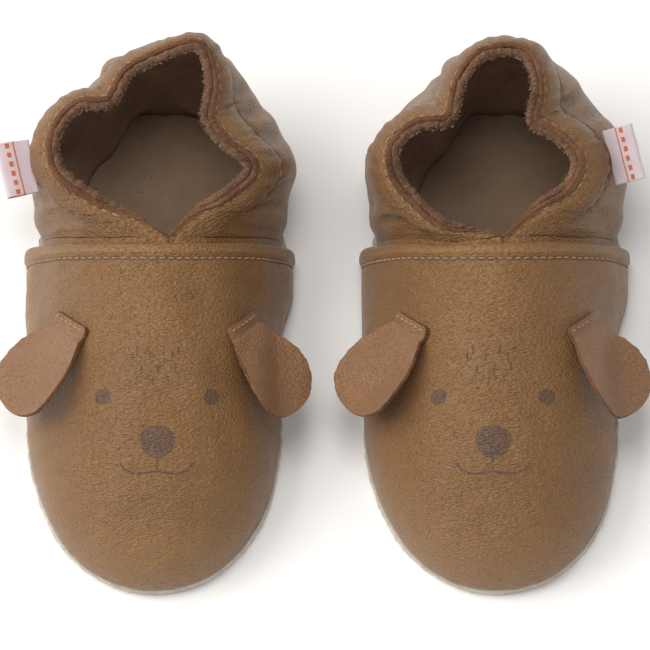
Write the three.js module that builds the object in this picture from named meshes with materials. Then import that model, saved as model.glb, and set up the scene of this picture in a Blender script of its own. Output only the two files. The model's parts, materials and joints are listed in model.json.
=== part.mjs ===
// A pair of soft leather baby booties with animal ears, elastic ankles and suede soles.
// Millimetres, +Z up, toes towards -Y, heels towards +Y.
import * as THREE from 'three';

// ---- driving dimensions ----
const SOLE_LENGTH = 133;
const SOLE_WIDTH = 67;
const HEEL_WIDTH = 63;
const PAIR_SPACING = 84.5;

const CLEARANCE = 0.3;
const LAP_CLEARANCE = 0.6;
const THREAD_CLEARANCE = 0.4;
const SOLE_THICKNESS = 1.6;
const LIP_HEIGHT = 1.4;
const LIP_WIDTH = 1.0;
const LIP_GAP = 0.7;
const FOAM_THICKNESS = 2.0;
const INSOLE_THICKNESS = 1.0;
const QUARTER_LINING_THICKNESS = 0.8;
const QUARTER_THICKNESS = 1.0;
const VAMP_LINING_THICKNESS = 0.5;
const VAMP_THICKNESS = 1.2;
const ELASTIC_THICKNESS = 0.6;
const THREAD_RADIUS = 0.3;

const INSTEP_HEIGHT = 40;      // front point of the mouth, inside
const TOE_RISE = 33;           // how much of that height the rounded toe makes
const BALL_SETBACK = 44;       // from the toe end of the sole to its widest place
const MOUTH_FRONT = 79.8;      // from the toe end of the sole to the front point of the mouth
const MOUTH_FRONT_LEAN = 13.5; // how much further back the wall below that point meets the sole
const VAMP_EDGE_SETBACK = 3.2; // from the front point of the mouth to the vamp's back edge
const QUARTER_LAP = 12;        // from the front point of the mouth to the quarter's ends
const QUARTER_FRONT_GAP = 0.5; // half the gap between those two ends
const ANKLE_BULGE = 9;         // how far the ankle walls belly out over the sole
const HEEL_SETBACK = 28;       // from the heel end of the sole to where its rounding starts

const RIM_STITCH_DEPTH = 2.2;  // below the rim
const CASING_TOP = 3.8;        // elastic casing, below the rim
const CASING_BOTTOM = 10.2;
const CASING_STITCH_DEPTH = 12;
const ELASTIC_END = 0.8;       // where the elastic stops, as a share of the way to the front
const STITCH_END = 0.9;        // the same for the two stitch rows beside it
const HEM_DEPTH = 3.0;         // stitch row below the vamp's back edge

const EAR_THICKNESS = 1.2;
const EAR_LENGTH = 24.8;
const EAR_OUTER_BELLY = 6.4;   // how far the flap swells past the crease's outer end
const EAR_INNER_BELLY = 5.0;   // and past its inner end
const EAR_TIP_SHIFT = 1.8;     // how far outwards the flap's tip lies from its middle line
const EAR_CREASE_LENGTH = 12;
const EAR_TAB_WIDTH = 3;
const EAR_HINGE_GAP = 1.3;
const EAR_LIFT = 20;           // degrees that the ear stands off the vamp at rest
const EAR_CREASE_X = 18.6;     // middle of the crease, from the bootie's centre line
const EAR_CREASE_Y = -7.4;
const EAR_CREASE_TURN = 46;    // degrees, plan view, from straight across
const EAR_PLAN_ALONG = 0.82;   // plan length of each mm along the crease, which slopes down the vamp
const EAR_PLAN_BACK = 0.9;     // the same for each mm back from the crease

const LABEL_WIDTH = 14;
const LABEL_REACH = 7;
const LABEL_RIBBON = 0.4;
const LABEL_LOOP = 1.0;        // half the height of the open loop
const LABEL_DROP = 1.0;        // from the casing stitches down to the label's seam
const LABEL_STATION = 0.62;    // how far round from the heel, where 1 is the mouth's front point

// Handles of the curve that each wall follows from its top edge down to the sole, as shares of the
// wall's height and of its reach out to the sole. The first value holds at the toe and instep and
// the second at the ankle.
const LOWER_HANDLE_HEIGHT = 0.6;
const LOWER_HANDLE_LEAN = [0.4, 0.1];
const UPPER_HANDLE_REACH = [0.62, 0.35];
const UPPER_HANDLE_DROP = [0, 0.28];
const TOE_BULGE = 1.2;         // how far the front walls belly out over the sole
const UPPER_BULGE = 0.75;      // how much of the ankle's bulge its upper half has

// Mouth line of each bootie, from the left side of its front point round the heel to the right
// side of its front point. Each point is across from the centre line, back from the front point
// and up from the instep.
const LEFT_MOUTH = [
  [-0.5, 0, 0], [-8, 6, 1.5], [-17, 11, 3], [-24.5, 16.5, 5.5], [-25.5, 24.5, 8], [-20, 31, 10],
  [-12, 31.5, 11.5], [-7.5, 38, 14.5], [0, 41.5, 16.5], [9.5, 44, 17.5], [12.5, 36.5, 14.5],
  [11.5, 27.5, 11.5], [16.5, 21, 9.5], [22.5, 16.5, 7], [17.5, 11.5, 4], [9, 7, 2], [0.5, 0, 0],
];
const RIGHT_MOUTH = [
  [-0.5, 0, 0], [-9, 4, 1], [-17.5, 7.5, 3], [-24.5, 14.5, 5], [-25.5, 21.5, 7.5], [-20.5, 26, 9],
  [-12, 27, 11], [-9, 36.5, 14], [-3.5, 42.5, 16], [6, 42.5, 16], [9, 35, 14],
  [8, 26.5, 11.5], [15, 22.5, 9.5], [19, 18, 7], [16.5, 12, 4.5], [9, 6.5, 2], [0.5, 0, 0],
];

// ---- values that follow from them ----
const RAD = Math.PI / 180;
const UP = new THREE.Vector3(0, 0, 1);
const SEAT = SOLE_THICKNESS + CLEARANCE;
const MIDDLE = SOLE_LENGTH / 2;

const liningHigh = QUARTER_LINING_THICKNESS;
const elasticLow = liningHigh + CLEARANCE;
const elasticHigh = elasticLow + ELASTIC_THICKNESS;
const quarterLow = liningHigh + CLEARANCE;
const quarterHigh = quarterLow + QUARTER_THICKNESS;
const casingLift = ELASTIC_THICKNESS + CLEARANCE;
const vampLiningLow = quarterHigh + LAP_CLEARANCE;
const vampLiningHigh = vampLiningLow + VAMP_LINING_THICKNESS;
const vampLow = vampLiningHigh + CLEARANCE;
const vampHigh = vampLow + VAMP_THICKNESS;
const frontWall = vampHigh + LIP_GAP + LIP_WIDTH;
const backWall = quarterHigh + LIP_GAP + LIP_WIDTH;

const toeY = -MIDDLE + frontWall;
const heelY = MIDDLE - backWall;
const ballY = -MIDDLE + BALL_SETBACK;
const instepY = -MIDDLE + MOUTH_FRONT;
const sideY = instepY + MOUTH_FRONT_LEAN;
const ballHalf = SOLE_WIDTH / 2 - frontWall;
const heelHalf = HEEL_WIDTH / 2 - backWall;
const heelRoundY = MIDDLE - HEEL_SETBACK;
const vampEndAngle = Math.PI / 2 - VAMP_EDGE_SETBACK / (instepY - toeY);
const hemAngle = vampEndAngle - HEM_DEPTH / (instepY - toeY);
const lapAngle = QUARTER_LAP / (sideY - toeY);

const mix = THREE.MathUtils.lerp;
const smooth = THREE.MathUtils.smoothstep;

// ---- colours ----
const leather = { color: 0x94714b, roughness: 0.55 };
const earLeather = { color: 0xa5825f, roughness: 0.6 };
const innerSuede = { color: 0x50392e, roughness: 0.95 };
const soleSuede = { color: 0xc8bdaf, roughness: 0.95 };
const insoleFabric = { color: 0x8a7c68, roughness: 0.9 };
const foam = { color: 0xe6e0d0, roughness: 0.9 };
const thread = { color: 0xb08c64, roughness: 0.7 };
const elasticWeb = { color: 0xe8e6e0, roughness: 0.8 };
const ribbon = { color: 0xe1cdd2, roughness: 0.4 };

// ---- the foot shape that every layer of the upper follows ----
// A station runs up one wall of the bootie. Station 0 is the middle of the heel, -1 and 1 are the
// front point of the mouth on the left and the right, and -2 and 2 meet at the tip of the toe.

function halfWidthAt(y) {
  if (y < ballY) return ballHalf * Math.sqrt(Math.max(0, 1 - ((ballY - y) / (ballY - toeY)) ** 2));
  return mix(ballHalf, heelHalf, smooth(y, ballY, sideY));
}

function footEdge(station) {
  const side = Math.sign(station);
  const away = Math.abs(station);
  if (away > 1) {
    const angle = (2 - away) * Math.PI / 2;
    const y = toeY + (sideY - toeY) * (1 - Math.cos(angle));
    return new THREE.Vector3(side * halfWidthAt(y), y, SEAT);
  }
  const straight = heelRoundY - sideY;
  const round = (heelHalf + heelY - heelRoundY) * Math.PI / 4;
  const along = (straight + round) * (1 - away) ** 1.25;
  if (along < straight) return new THREE.Vector3(side * heelHalf, sideY + along, SEAT);
  const angle = (along - straight) / round * Math.PI / 2;
  const y = heelRoundY + (heelY - heelRoundY) * Math.sin(angle);
  return new THREE.Vector3(side * heelHalf * Math.cos(angle), y, SEAT);
}

function footEdgeOutward(station) {
  const step = 0.004;
  const along = footEdge(Math.min(2, station + step)).sub(footEdge(Math.max(-2, station - step)));
  if (Math.abs(station) > 2 - step) return new THREE.Vector3(0, -1, 0);
  return new THREE.Vector3(-along.y, along.x, 0).normalize();
}

// The crest: the middle line from the tip of the toe up to the front point of the mouth.
function crest(station) {
  const angle = (2 - Math.abs(station)) * Math.PI / 2;
  const along = 1 - Math.cos(angle);
  const rise = TOE_RISE * Math.sin(angle) + (INSTEP_HEIGHT - SEAT - TOE_RISE) * along ** 1.5;
  return new THREE.Vector3(0, toeY + (instepY - toeY) * along, SEAT + rise);
}

function mouthCurve(points) {
  return new THREE.CatmullRomCurve3(points.map(([across, back, rise]) => (
    new THREE.Vector3(across, instepY + back, INSTEP_HEIGHT + rise))));
}

// One bootie's wall as a function of station and height, where height 0 is the top and 1 the sole.
class FootShape {
  constructor(mouthPoints) {
    this.mouth = mouthCurve(mouthPoints);
    this.walls = new Map();
  }

  wall(station) {
    const key = station.toFixed(6);
    if (!this.walls.has(key)) this.walls.set(key, this.makeWall(station));
    return this.walls.get(key);
  }

  makeWall(station) {
    const away = Math.abs(station);
    const bottom = footEdge(station);
    const outward = footEdgeOutward(station);
    const top = away > 1 ? crest(station) : this.mouth.getPoint((station + 1) / 2);
    const reach = bottom.clone().sub(top);
    const height = top.z - SEAT;
    const upright = smooth(1 - away, 0, 0.45);
    const lean = mix(...LOWER_HANDLE_LEAN, upright) * reach.y;
    const lower = bottom.clone()
      .add(new THREE.Vector3(0, -lean, LOWER_HANDLE_HEIGHT * height))
      .addScaledVector(outward, mix(TOE_BULGE * Math.min(1, 2 - away), ANKLE_BULGE, upright));
    const across = mix(...UPPER_HANDLE_REACH, upright) * reach.x;
    const back = UPPER_HANDLE_REACH[1] * upright * reach.y;
    const upper = top.clone()
      .add(new THREE.Vector3(across, back, -mix(...UPPER_HANDLE_DROP, upright) * height))
      .addScaledVector(outward, UPPER_BULGE * ANKLE_BULGE * upright);
    const curve = new THREE.CubicBezierCurve3(top, upper, lower, bottom);
    curve.arcLengthDivisions = 60;
    return curve;
  }

  wallLength(station) {
    return this.wall(station).getLength();
  }

  // Height as a share of the wall for a depth below its top edge.
  heightAtDepth(station, depth) {
    return Math.min(1, depth / this.wallLength(station));
  }

  point(station, height) {
    return this.wall(station).getPointAt(THREE.MathUtils.clamp(height, 0, 1));
  }

  ankle(station, height) {
    const step = 0.01;
    const along = this.point(station + step, height).sub(this.point(station - step, height));
    const down = this.point(station, height + step).sub(this.point(station, Math.max(0, height - step)));
    return { point: this.point(station, height), normal: along.cross(down).normalize() };
  }

  // The vamp is read across from its left sole edge, at -1, over the crest, at 0, to the right, at 1.
  instepPoint(across, angle) {
    const station = (across < 0 ? -1 : 1) * (2 - angle / (Math.PI / 2));
    return this.point(station, Math.abs(across));
  }

  instep(across, angle) {
    if (angle < 1e-6) return { point: this.instepPoint(0, 0), normal: new THREE.Vector3(0, -1, 0) };
    const step = 0.01;
    const left = this.instepPoint(Math.max(-1, across - step), angle);
    const right = this.instepPoint(Math.min(1, across + step), angle);
    const front = this.instepPoint(across, Math.max(0, angle - step));
    const back = this.instepPoint(across, Math.min(Math.PI / 2, angle + step));
    const normal = right.sub(left).cross(back.sub(front)).normalize();
    return { point: this.instepPoint(across, angle), normal };
  }

  // The place on the vamp above a plan position, found by halving.
  instepAbove(x, y) {
    let across = x / ballHalf;
    let angle = Math.PI / 4;
    for (let round = 0; round < 12; round += 1) {
      angle = bisect(0.01, Math.PI / 2, (value) => this.instepPoint(across, value).y - y);
      across = bisect(-1, 1, (value) => this.instepPoint(value, angle).x - x);
    }
    return this.instep(across, angle);
  }
}

function bisect(low, high, error) {
  let bottom = low;
  let top = high;
  for (let round = 0; round < 30; round += 1) {
    const middle = (bottom + top) / 2;
    if (error(middle) < 0) bottom = middle;
    else top = middle;
  }
  return (bottom + top) / 2;
}

// ---- closed solids ----

function bufferGeometry(points, triangles) {
  const geometry = new THREE.BufferGeometry();
  const values = points.flatMap((point) => point.toArray());
  geometry.setAttribute('position', new THREE.Float32BufferAttribute(values, 3));
  geometry.setIndex(triangles.flat());
  geometry.computeVertexNormals();
  return geometry;
}

// A sheet between two offsets of a surface, closed all round its edge. Columns times rows face out.
function sheetGeometry(surface, columns, rows, low, high, lift = () => 0) {
  const keys = new Map();
  const outer = [];
  const inner = [];
  const number = (column, row) => {
    const { point, normal } = surface(column, row);
    const key = point.toArray().map((value) => value.toFixed(4)).join();
    if (!keys.has(key)) {
      keys.set(key, outer.length);
      outer.push(onSeat(point.clone().addScaledVector(normal, high + lift(column, row))));
      inner.push(onSeat(point.clone().addScaledVector(normal, low + lift(column, row))));
    }
    return keys.get(key);
  };
  const index = columns.map((column) => rows.map((row) => number(column, row)));
  const faces = [];
  for (let i = 0; i + 1 < columns.length; i += 1) {
    for (let j = 0; j + 1 < rows.length; j += 1) {
      faces.push([index[i][j], index[i + 1][j], index[i + 1][j + 1]]);
      faces.push([index[i][j], index[i + 1][j + 1], index[i][j + 1]]);
    }
  }
  return thickened(outer, inner, faces.filter(([a, b, c]) => a !== b && b !== c && a !== c));
}

function onSeat(point) {
  return point.setZ(Math.max(point.z, SEAT));
}

function thickened(outer, inner, faces) {
  const count = outer.length;
  const edges = new Set(faces.flatMap(([a, b, c]) => [`${a},${b}`, `${b},${c}`, `${c},${a}`]));
  const triangles = [];
  for (const [a, b, c] of faces) {
    triangles.push([a, b, c], [c + count, b + count, a + count]);
    for (const [from, to] of [[a, b], [b, c], [c, a]]) {
      if (edges.has(`${to},${from}`)) continue;
      triangles.push([to, from, from + count], [to, from + count, to + count]);
    }
  }
  return bufferGeometry([...outer, ...inner], triangles);
}

// A body made of rings, one above the other, with a flat cap on the first and on the last.
function stackedGeometry(rings) {
  const size = rings[0].length;
  const triangles = [];
  for (let level = 0; level + 1 < rings.length; level += 1) {
    for (let i = 0; i < size; i += 1) {
      const next = (i + 1) % size;
      const [a, b] = [level * size + i, level * size + next];
      triangles.push([a, b, b + size], [a, b + size, a + size]);
    }
  }
  const last = (rings.length - 1) * size;
  for (const [a, b, c] of capTriangles(rings[0])) triangles.push([c, b, a]);
  for (const [a, b, c] of capTriangles(rings.at(-1))) triangles.push([a + last, b + last, c + last]);
  return bufferGeometry(rings.flat(), triangles);
}

function capTriangles(ring) {
  return THREE.ShapeUtils.triangulateShape(ring.map((point) => new THREE.Vector2(point.x, point.y)), []);
}

// A thread laid along points, with a four-sided section that turns with the surface under it.
function threadGeometry(places, offset, closed = false) {
  const sides = 4;
  const count = places.length;
  const centre = (i) => places[i].point.clone().addScaledVector(places[i].normal, offset);
  const points = [];
  for (let i = 0; i < count; i += 1) {
    const before = centre(closed ? (i + count - 1) % count : Math.max(0, i - 1));
    const after = centre(closed ? (i + 1) % count : Math.min(count - 1, i + 1));
    const across = after.sub(before).normalize().cross(places[i].normal);
    for (let k = 0; k < sides; k += 1) {
      const angle = (k + 0.5) * 2 * Math.PI / sides;
      points.push(centre(i)
        .addScaledVector(places[i].normal, THREAD_RADIUS * Math.cos(angle))
        .addScaledVector(across, THREAD_RADIUS * Math.sin(angle)));
    }
  }
  const triangles = [];
  for (let i = 0; i < (closed ? count : count - 1); i += 1) {
    for (let k = 0; k < sides; k += 1) {
      const a = i * sides + k;
      const b = i * sides + (k + 1) % sides;
      const [c, d] = [a, b].map((value) => (value + sides) % (count * sides));
      triangles.push([a, b, d], [a, d, c]);
    }
  }
  if (!closed) {
    const end = (count - 1) * sides;
    triangles.push([0, 2, 1], [0, 3, 2], [end, end + 1, end + 2], [end, end + 2, end + 3]);
  }
  return bufferGeometry(points, triangles);
}

function spread(from, to, parts) {
  return Array.from({ length: parts + 1 }, (_, i) => mix(from, to, i / parts));
}

// ---- sole ----

function wallOffset(station) {
  return mix(frontWall, backWall, smooth(1 - Math.abs(station), 0.02, 0.25));
}

// Stations once round the sole, anticlockwise seen from above.
const ringStations = [...spread(1, -1, 20), ...spread(-1.12, -2, 9), ...spread(1.88, 1.12, 8)];

// The foot edge itself, drawn in by a distance.
function footRing(inset, z) {
  return ringStations.map((station) => (
    footEdge(station).addScaledVector(footEdgeOutward(station), -inset).setZ(z)));
}

// The edge of the sole, outside every layer of the upper, drawn in by a distance.
function soleRing(inset, z) {
  return ringStations.map((station) => {
    const reach = wallOffset(station) - inset;
    return footEdge(station).addScaledVector(footEdgeOutward(station), reach).setZ(z);
  });
}

function outsoleGeometry() {
  const top = SOLE_THICKNESS + LIP_HEIGHT;
  return stackedGeometry([
    soleRing(1.2, 0),
    soleRing(0, 0.8),
    soleRing(0, top - 0.3),
    soleRing(0.3, top),
    soleRing(LIP_WIDTH, top),
    soleRing(LIP_WIDTH, SOLE_THICKNESS),
  ]);
}

function padGeometry(inset, bottom, thickness) {
  return stackedGeometry([footRing(inset, bottom), footRing(inset, bottom + thickness)]);
}

// The seam that joins upper and sole, hidden between the foam pad and the wall of the bootie.
function soleThreadGeometry() {
  const places = footRing(2 * THREAD_RADIUS + CLEARANCE, SEAT + THREAD_RADIUS * Math.SQRT1_2);
  return threadGeometry(places.map((point) => ({ point, normal: UP.clone() })), 0, true);
}

// ---- ankle ----

const ankleStations = spread(-1, 1, 36);
const lapStation = 1 + lapAngle / (Math.PI / 2);
const quarterStations = [-lapStation, ...ankleStations, lapStation];

function quarterRow(shape, row) {
  // Rows 0 to 4 are depths below the rim, and the rest divide what is left down to the sole.
  const depths = [0, RIM_STITCH_DEPTH, CASING_TOP, CASING_BOTTOM, CASING_STITCH_DEPTH];
  return (station) => {
    if (row < depths.length) return shape.heightAtDepth(station, depths[row]);
    const start = shape.heightAtDepth(station, depths.at(-1));
    return mix(start, 1, (row - depths.length + 1) / 3);
  };
}

function ankleSurface(shape) {
  return (station, row) => {
    const height = quarterRow(shape, row)(station);
    if (Math.abs(station) <= 1) return shape.ankle(station, height);
    const trimmed = Math.max(height, shape.heightAtDepth(station, QUARTER_FRONT_GAP));
    return shape.ankle(station, trimmed);
  };
}

function inCasing(station) {
  return 1 - smooth(Math.abs(station), ELASTIC_END + 0.02, 0.95);
}

function quarterGeometry(shape) {
  const lift = (station, row) => (row === 2 || row === 3 ? casingLift * inCasing(station) : 0);
  return sheetGeometry(ankleSurface(shape), quarterStations, [0, 1, 2, 3, 4, 5, 6, 7],
    quarterLow, quarterHigh, lift);
}

function quarterLiningGeometry(shape) {
  return sheetGeometry(ankleSurface(shape), quarterStations, [0, 2, 3, 5, 6, 7], 0, liningHigh);
}

function elasticGeometry(shape) {
  const stations = ankleStations.filter((station) => Math.abs(station) < ELASTIC_END);
  const surface = (station, depth) => shape.ankle(station, shape.heightAtDepth(station, depth));
  const depths = [CASING_TOP + CLEARANCE, CASING_BOTTOM - CLEARANCE];
  return sheetGeometry(surface, stations, depths, elasticLow, elasticHigh);
}

function ankleThreadGeometry(shape, depth) {
  const stations = ankleStations.filter((station) => Math.abs(station) < STITCH_END);
  const places = stations.map((station) => shape.ankle(station, shape.heightAtDepth(station, depth)));
  return threadGeometry(places, quarterHigh + THREAD_CLEARANCE + THREAD_RADIUS);
}

// ---- vamp ----

const vampAcross = spread(-1, 1, 18);
const vampAngles = [...spread(0, hemAngle, 12), vampEndAngle];

function vampSheet(shape, low, high) {
  return sheetGeometry((across, angle) => shape.instep(across, angle), vampAcross, vampAngles, low, high);
}

function hemThreadGeometry(shape) {
  const places = vampAcross.slice(1, -1).map((across) => shape.instep(across, hemAngle));
  return threadGeometry(places, vampHigh + CLEARANCE + THREAD_RADIUS);
}

// ---- ears ----

// Across and back directions of the crease in plan, where side is -1 on the left and 1 on the right.
function creasePlan(side) {
  const turn = EAR_CREASE_TURN * RAD;
  return {
    middle: new THREE.Vector2(side * EAR_CREASE_X, EAR_CREASE_Y),
    across: new THREE.Vector2(side * Math.cos(turn), Math.sin(turn)),
    back: new THREE.Vector2(-side * Math.sin(turn), Math.cos(turn)),
  };
}

function onEarTab(shape, side, along, back) {
  const plan = creasePlan(side);
  const place = plan.middle.clone()
    .addScaledVector(plan.across, along * EAR_PLAN_ALONG)
    .addScaledVector(plan.back, back * EAR_PLAN_BACK);
  return shape.instepAbove(place.x, place.y);
}

function earTabGeometry(shape, side) {
  const half = EAR_CREASE_LENGTH / 2;
  const columns = side > 0 ? spread(-half, half, 4) : spread(half, -half, 4);
  const rows = [EAR_HINGE_GAP, EAR_HINGE_GAP + EAR_TAB_WIDTH];
  const low = vampHigh + CLEARANCE;
  return sheetGeometry((along, back) => onEarTab(shape, side, along, back), columns, rows,
    low, low + EAR_THICKNESS);
}

function earThreadGeometry(shape, side) {
  const half = EAR_CREASE_LENGTH / 2 - 1;
  const row = EAR_HINGE_GAP + EAR_TAB_WIDTH / 2;
  const places = spread(-half, half, 4).map((along) => onEarTab(shape, side, along, row));
  return threadGeometry(places, vampHigh + 2 * CLEARANCE + EAR_THICKNESS + THREAD_RADIUS);
}

// Frame of one ear: x along the crease, y out along the flap and z through its thickness.
function earFrame(shape, side) {
  const half = EAR_CREASE_LENGTH / 2;
  const middle = onEarTab(shape, side, 0, 0);
  const ends = [-half, half].map((along) => onEarTab(shape, side, side * along, 0).point);
  const crease = ends[1].clone().sub(ends[0]).normalize();
  const flat = crease.clone().cross(middle.normal).normalize();
  const normal = flat.clone().cross(crease).normalize();
  const lift = EAR_LIFT * RAD;
  const out = flat.clone().multiplyScalar(Math.cos(lift)).addScaledVector(normal, Math.sin(lift));
  const centre = middle.point.clone().addScaledVector(
    middle.normal, vampHigh + CLEARANCE + EAR_THICKNESS / 2);
  return { centre, crease, out, through: crease.clone().cross(out) };
}

// A rounded petal, wider away from the crease, fuller on its outer side.
function earOutline(side) {
  const half = EAR_CREASE_LENGTH / 2;
  const shape = new THREE.Shape();
  const outer = side * (half + EAR_OUTER_BELLY * 4 / 3);
  const inner = -side * (half + EAR_INNER_BELLY * 4 / 3);
  const length = EAR_LENGTH;
  shape.moveTo(-side * half, 0);
  shape.lineTo(side * half, 0);
  shape.bezierCurveTo(outer, 0.38 * length, outer, 0.95 * length, side * EAR_TIP_SHIFT, length);
  shape.bezierCurveTo(inner, length, inner, 0.6 * length, -side * half, 0);
  return shape;
}

function earGeometry(shape, side) {
  const frame = earFrame(shape, side);
  const geometry = new THREE.ExtrudeGeometry(earOutline(side), {
    depth: EAR_THICKNESS, bevelEnabled: false, curveSegments: 8,
  });
  geometry.translate(0, 0, -EAR_THICKNESS / 2);
  const matrix = new THREE.Matrix4().makeBasis(frame.crease, frame.out, frame.through);
  geometry.applyMatrix4(matrix.setPosition(frame.centre));
  return geometry;
}

// ---- side label ----

// Frame of the label: x out from the wall, z along the seam that holds it.
function labelFrame(shape, station) {
  const depth = CASING_STITCH_DEPTH + 2 * THREAD_RADIUS + LABEL_DROP;
  const place = shape.ankle(station, shape.heightAtDepth(station, depth));
  const ends = [-0.05, 0.05].map((step) => (
    shape.point(station + step, shape.heightAtDepth(station + step, depth))));
  const seam = ends[1].clone().sub(ends[0]).normalize();
  const out = place.normal.clone().addScaledVector(seam, -place.normal.dot(seam)).normalize();
  const root = place.point.clone()
    .addScaledVector(place.normal, quarterHigh + CLEARANCE + LABEL_RIBBON);
  return { root, out, seam, through: seam.clone().cross(out) };
}

function loopOutline(inset) {
  const reach = LABEL_REACH - inset;
  const half = LABEL_LOOP - inset;
  const start = inset > 0 ? 1.6 : 0;
  const neck = inset > 0 ? 0.06 : LABEL_RIBBON;
  const path = inset > 0 ? new THREE.Path() : new THREE.Shape();
  path.moveTo(start, -neck);
  path.quadraticCurveTo(start + 1, -half, reach / 2 + 1, -half);
  path.quadraticCurveTo(reach, -half, reach, 0);
  path.quadraticCurveTo(reach, half, reach / 2 + 1, half);
  path.quadraticCurveTo(start + 1, half, start, neck);
  path.closePath();
  return path;
}

function labelGeometry(shape, station) {
  const frame = labelFrame(shape, station);
  const outline = loopOutline(0);
  outline.holes.push(loopOutline(LABEL_RIBBON));
  const geometry = new THREE.ExtrudeGeometry(outline, {
    depth: LABEL_WIDTH, bevelEnabled: false, curveSegments: 3,
  });
  geometry.translate(0, 0, -LABEL_WIDTH / 2);
  const matrix = new THREE.Matrix4().makeBasis(frame.out, frame.through, frame.seam);
  geometry.applyMatrix4(matrix.setPosition(frame.root));
  return geometry;
}

// ---- one bootie ----

function piece(name, geometry, look) {
  const mesh = new THREE.Mesh(geometry, new THREE.MeshStandardMaterial({ ...look, metalness: 0 }));
  mesh.name = name;
  return mesh;
}

// The label's station is negative where the outside of the foot is towards -X.
function bootie(name, mouthPoints, labelStation) {
  const shape = new FootShape(mouthPoints);
  const group = new THREE.Group();
  const add = (part, geometry, look) => group.add(piece(`${name}_${part}`, geometry, look));
  const outerSide = Math.sign(labelStation);
  const foamInset = 4 * THREAD_RADIUS + 2 * CLEARANCE;

  add('outsole', outsoleGeometry(), soleSuede);
  add('foam_pad', padGeometry(foamInset, SEAT, FOAM_THICKNESS), foam);
  add('insole', padGeometry(0.5, SEAT + FOAM_THICKNESS + CLEARANCE, INSOLE_THICKNESS), insoleFabric);
  add('sole_thread', soleThreadGeometry(), thread);
  add('quarter_lining', quarterLiningGeometry(shape), innerSuede);
  add('ankle_elastic', elasticGeometry(shape), elasticWeb);
  add('quarter', quarterGeometry(shape), leather);
  add('rim_thread', ankleThreadGeometry(shape, RIM_STITCH_DEPTH), thread);
  add('casing_thread', ankleThreadGeometry(shape, CASING_STITCH_DEPTH), thread);
  add('vamp_lining', vampSheet(shape, vampLiningLow, vampLiningHigh), innerSuede);
  add('vamp', vampSheet(shape, vampLow, vampHigh), leather);
  add('vamp_thread', hemThreadGeometry(shape), thread);
  for (const [place, side] of [['outer', outerSide], ['inner', -outerSide]]) {
    add(`${place}_ear_tab`, earTabGeometry(shape, side), earLeather);
    add(`${place}_ear_thread`, earThreadGeometry(shape, side), thread);
    add(`${place}_ear`, earGeometry(shape, side), earLeather);
  }
  add('side_label', labelGeometry(shape, labelStation), ribbon);
  return group;
}

// ---- the pair, standing on z = 0 with the middle of its outline at the origin ----

const pair = new THREE.Group();
const left = bootie('left', LEFT_MOUTH, -LABEL_STATION);
const right = bootie('right', RIGHT_MOUTH, LABEL_STATION);
left.position.x = -PAIR_SPACING / 2;
right.position.x = PAIR_SPACING / 2;
pair.add(left, right);
pair.updateMatrixWorld(true);
const outline = new THREE.Box3().setFromObject(pair, true);
const middle = outline.getCenter(new THREE.Vector3());
pair.position.set(-middle.x, -middle.y, -outline.min.z);
pair.updateMatrixWorld(true);

export default pair;
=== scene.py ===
import json
import math
import random
from functools import lru_cache

import bmesh
import bpy
import numpy as np
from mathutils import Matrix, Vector
from mathutils.bvhtree import BVHTree


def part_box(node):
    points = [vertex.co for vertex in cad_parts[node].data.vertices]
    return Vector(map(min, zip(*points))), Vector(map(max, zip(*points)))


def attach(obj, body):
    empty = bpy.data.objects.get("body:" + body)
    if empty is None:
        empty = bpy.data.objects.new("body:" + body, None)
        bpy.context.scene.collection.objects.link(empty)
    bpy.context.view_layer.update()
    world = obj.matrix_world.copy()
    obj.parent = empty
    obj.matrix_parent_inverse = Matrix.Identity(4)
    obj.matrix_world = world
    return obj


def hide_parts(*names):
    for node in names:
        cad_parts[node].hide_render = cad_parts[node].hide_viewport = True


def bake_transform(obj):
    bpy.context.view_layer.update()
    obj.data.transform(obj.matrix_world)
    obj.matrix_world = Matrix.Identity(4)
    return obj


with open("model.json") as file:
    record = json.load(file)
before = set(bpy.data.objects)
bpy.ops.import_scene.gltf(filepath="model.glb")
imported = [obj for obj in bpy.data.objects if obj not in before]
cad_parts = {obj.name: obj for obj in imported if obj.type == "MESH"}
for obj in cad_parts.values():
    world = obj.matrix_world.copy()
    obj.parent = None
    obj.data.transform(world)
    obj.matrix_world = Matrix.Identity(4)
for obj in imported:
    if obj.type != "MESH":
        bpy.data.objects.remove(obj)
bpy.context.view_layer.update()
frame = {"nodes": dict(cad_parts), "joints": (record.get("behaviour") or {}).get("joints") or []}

# A pair of soft leather baby booties: detailed leather, suede, thread and ribbon over the packed
# solids. Sizes are in millimetres and meshes in metres. Toes point towards -Y.

MM = 0.001

# ---- sizes shared with the solids ----
SOLE_LENGTH = 133
SOLE_WIDTH = 67
HEEL_WIDTH = 63
CLEARANCE = 0.3
LAP_CLEARANCE = 0.6
SOLE_THICKNESS = 1.6
LIP_HEIGHT = 1.4
LIP_WIDTH = 1.0
LIP_GAP = 0.7
FOAM_THICKNESS = 2.0
INSOLE_THICKNESS = 1.0
LINING_THICKNESS = 0.8
QUARTER_THICKNESS = 1.0
VAMP_LINING_THICKNESS = 0.5
VAMP_THICKNESS = 1.2
ELASTIC_THICKNESS = 0.6
THREAD_RADIUS = 0.3
INSTEP_HEIGHT = 40
TOE_RISE = 33
BALL_SETBACK = 44
MOUTH_FRONT = 79.8
MOUTH_FRONT_LEAN = 13.5
VAMP_EDGE_SETBACK = 3.2
QUARTER_LAP = 12
ANKLE_BULGE = 9
HEEL_SETBACK = 28
RIM_STITCH_DEPTH = 2.2
CASING_TOP = 3.8
CASING_BOTTOM = 10.2
CASING_STITCH_DEPTH = 12
ELASTIC_END = 0.8
STITCH_END = 0.9
HEM_DEPTH = 3.0
EAR_THICKNESS = 1.2
EAR_LENGTH = 24.8
EAR_OUTER_BELLY = 6.4
EAR_INNER_BELLY = 5.0
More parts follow.
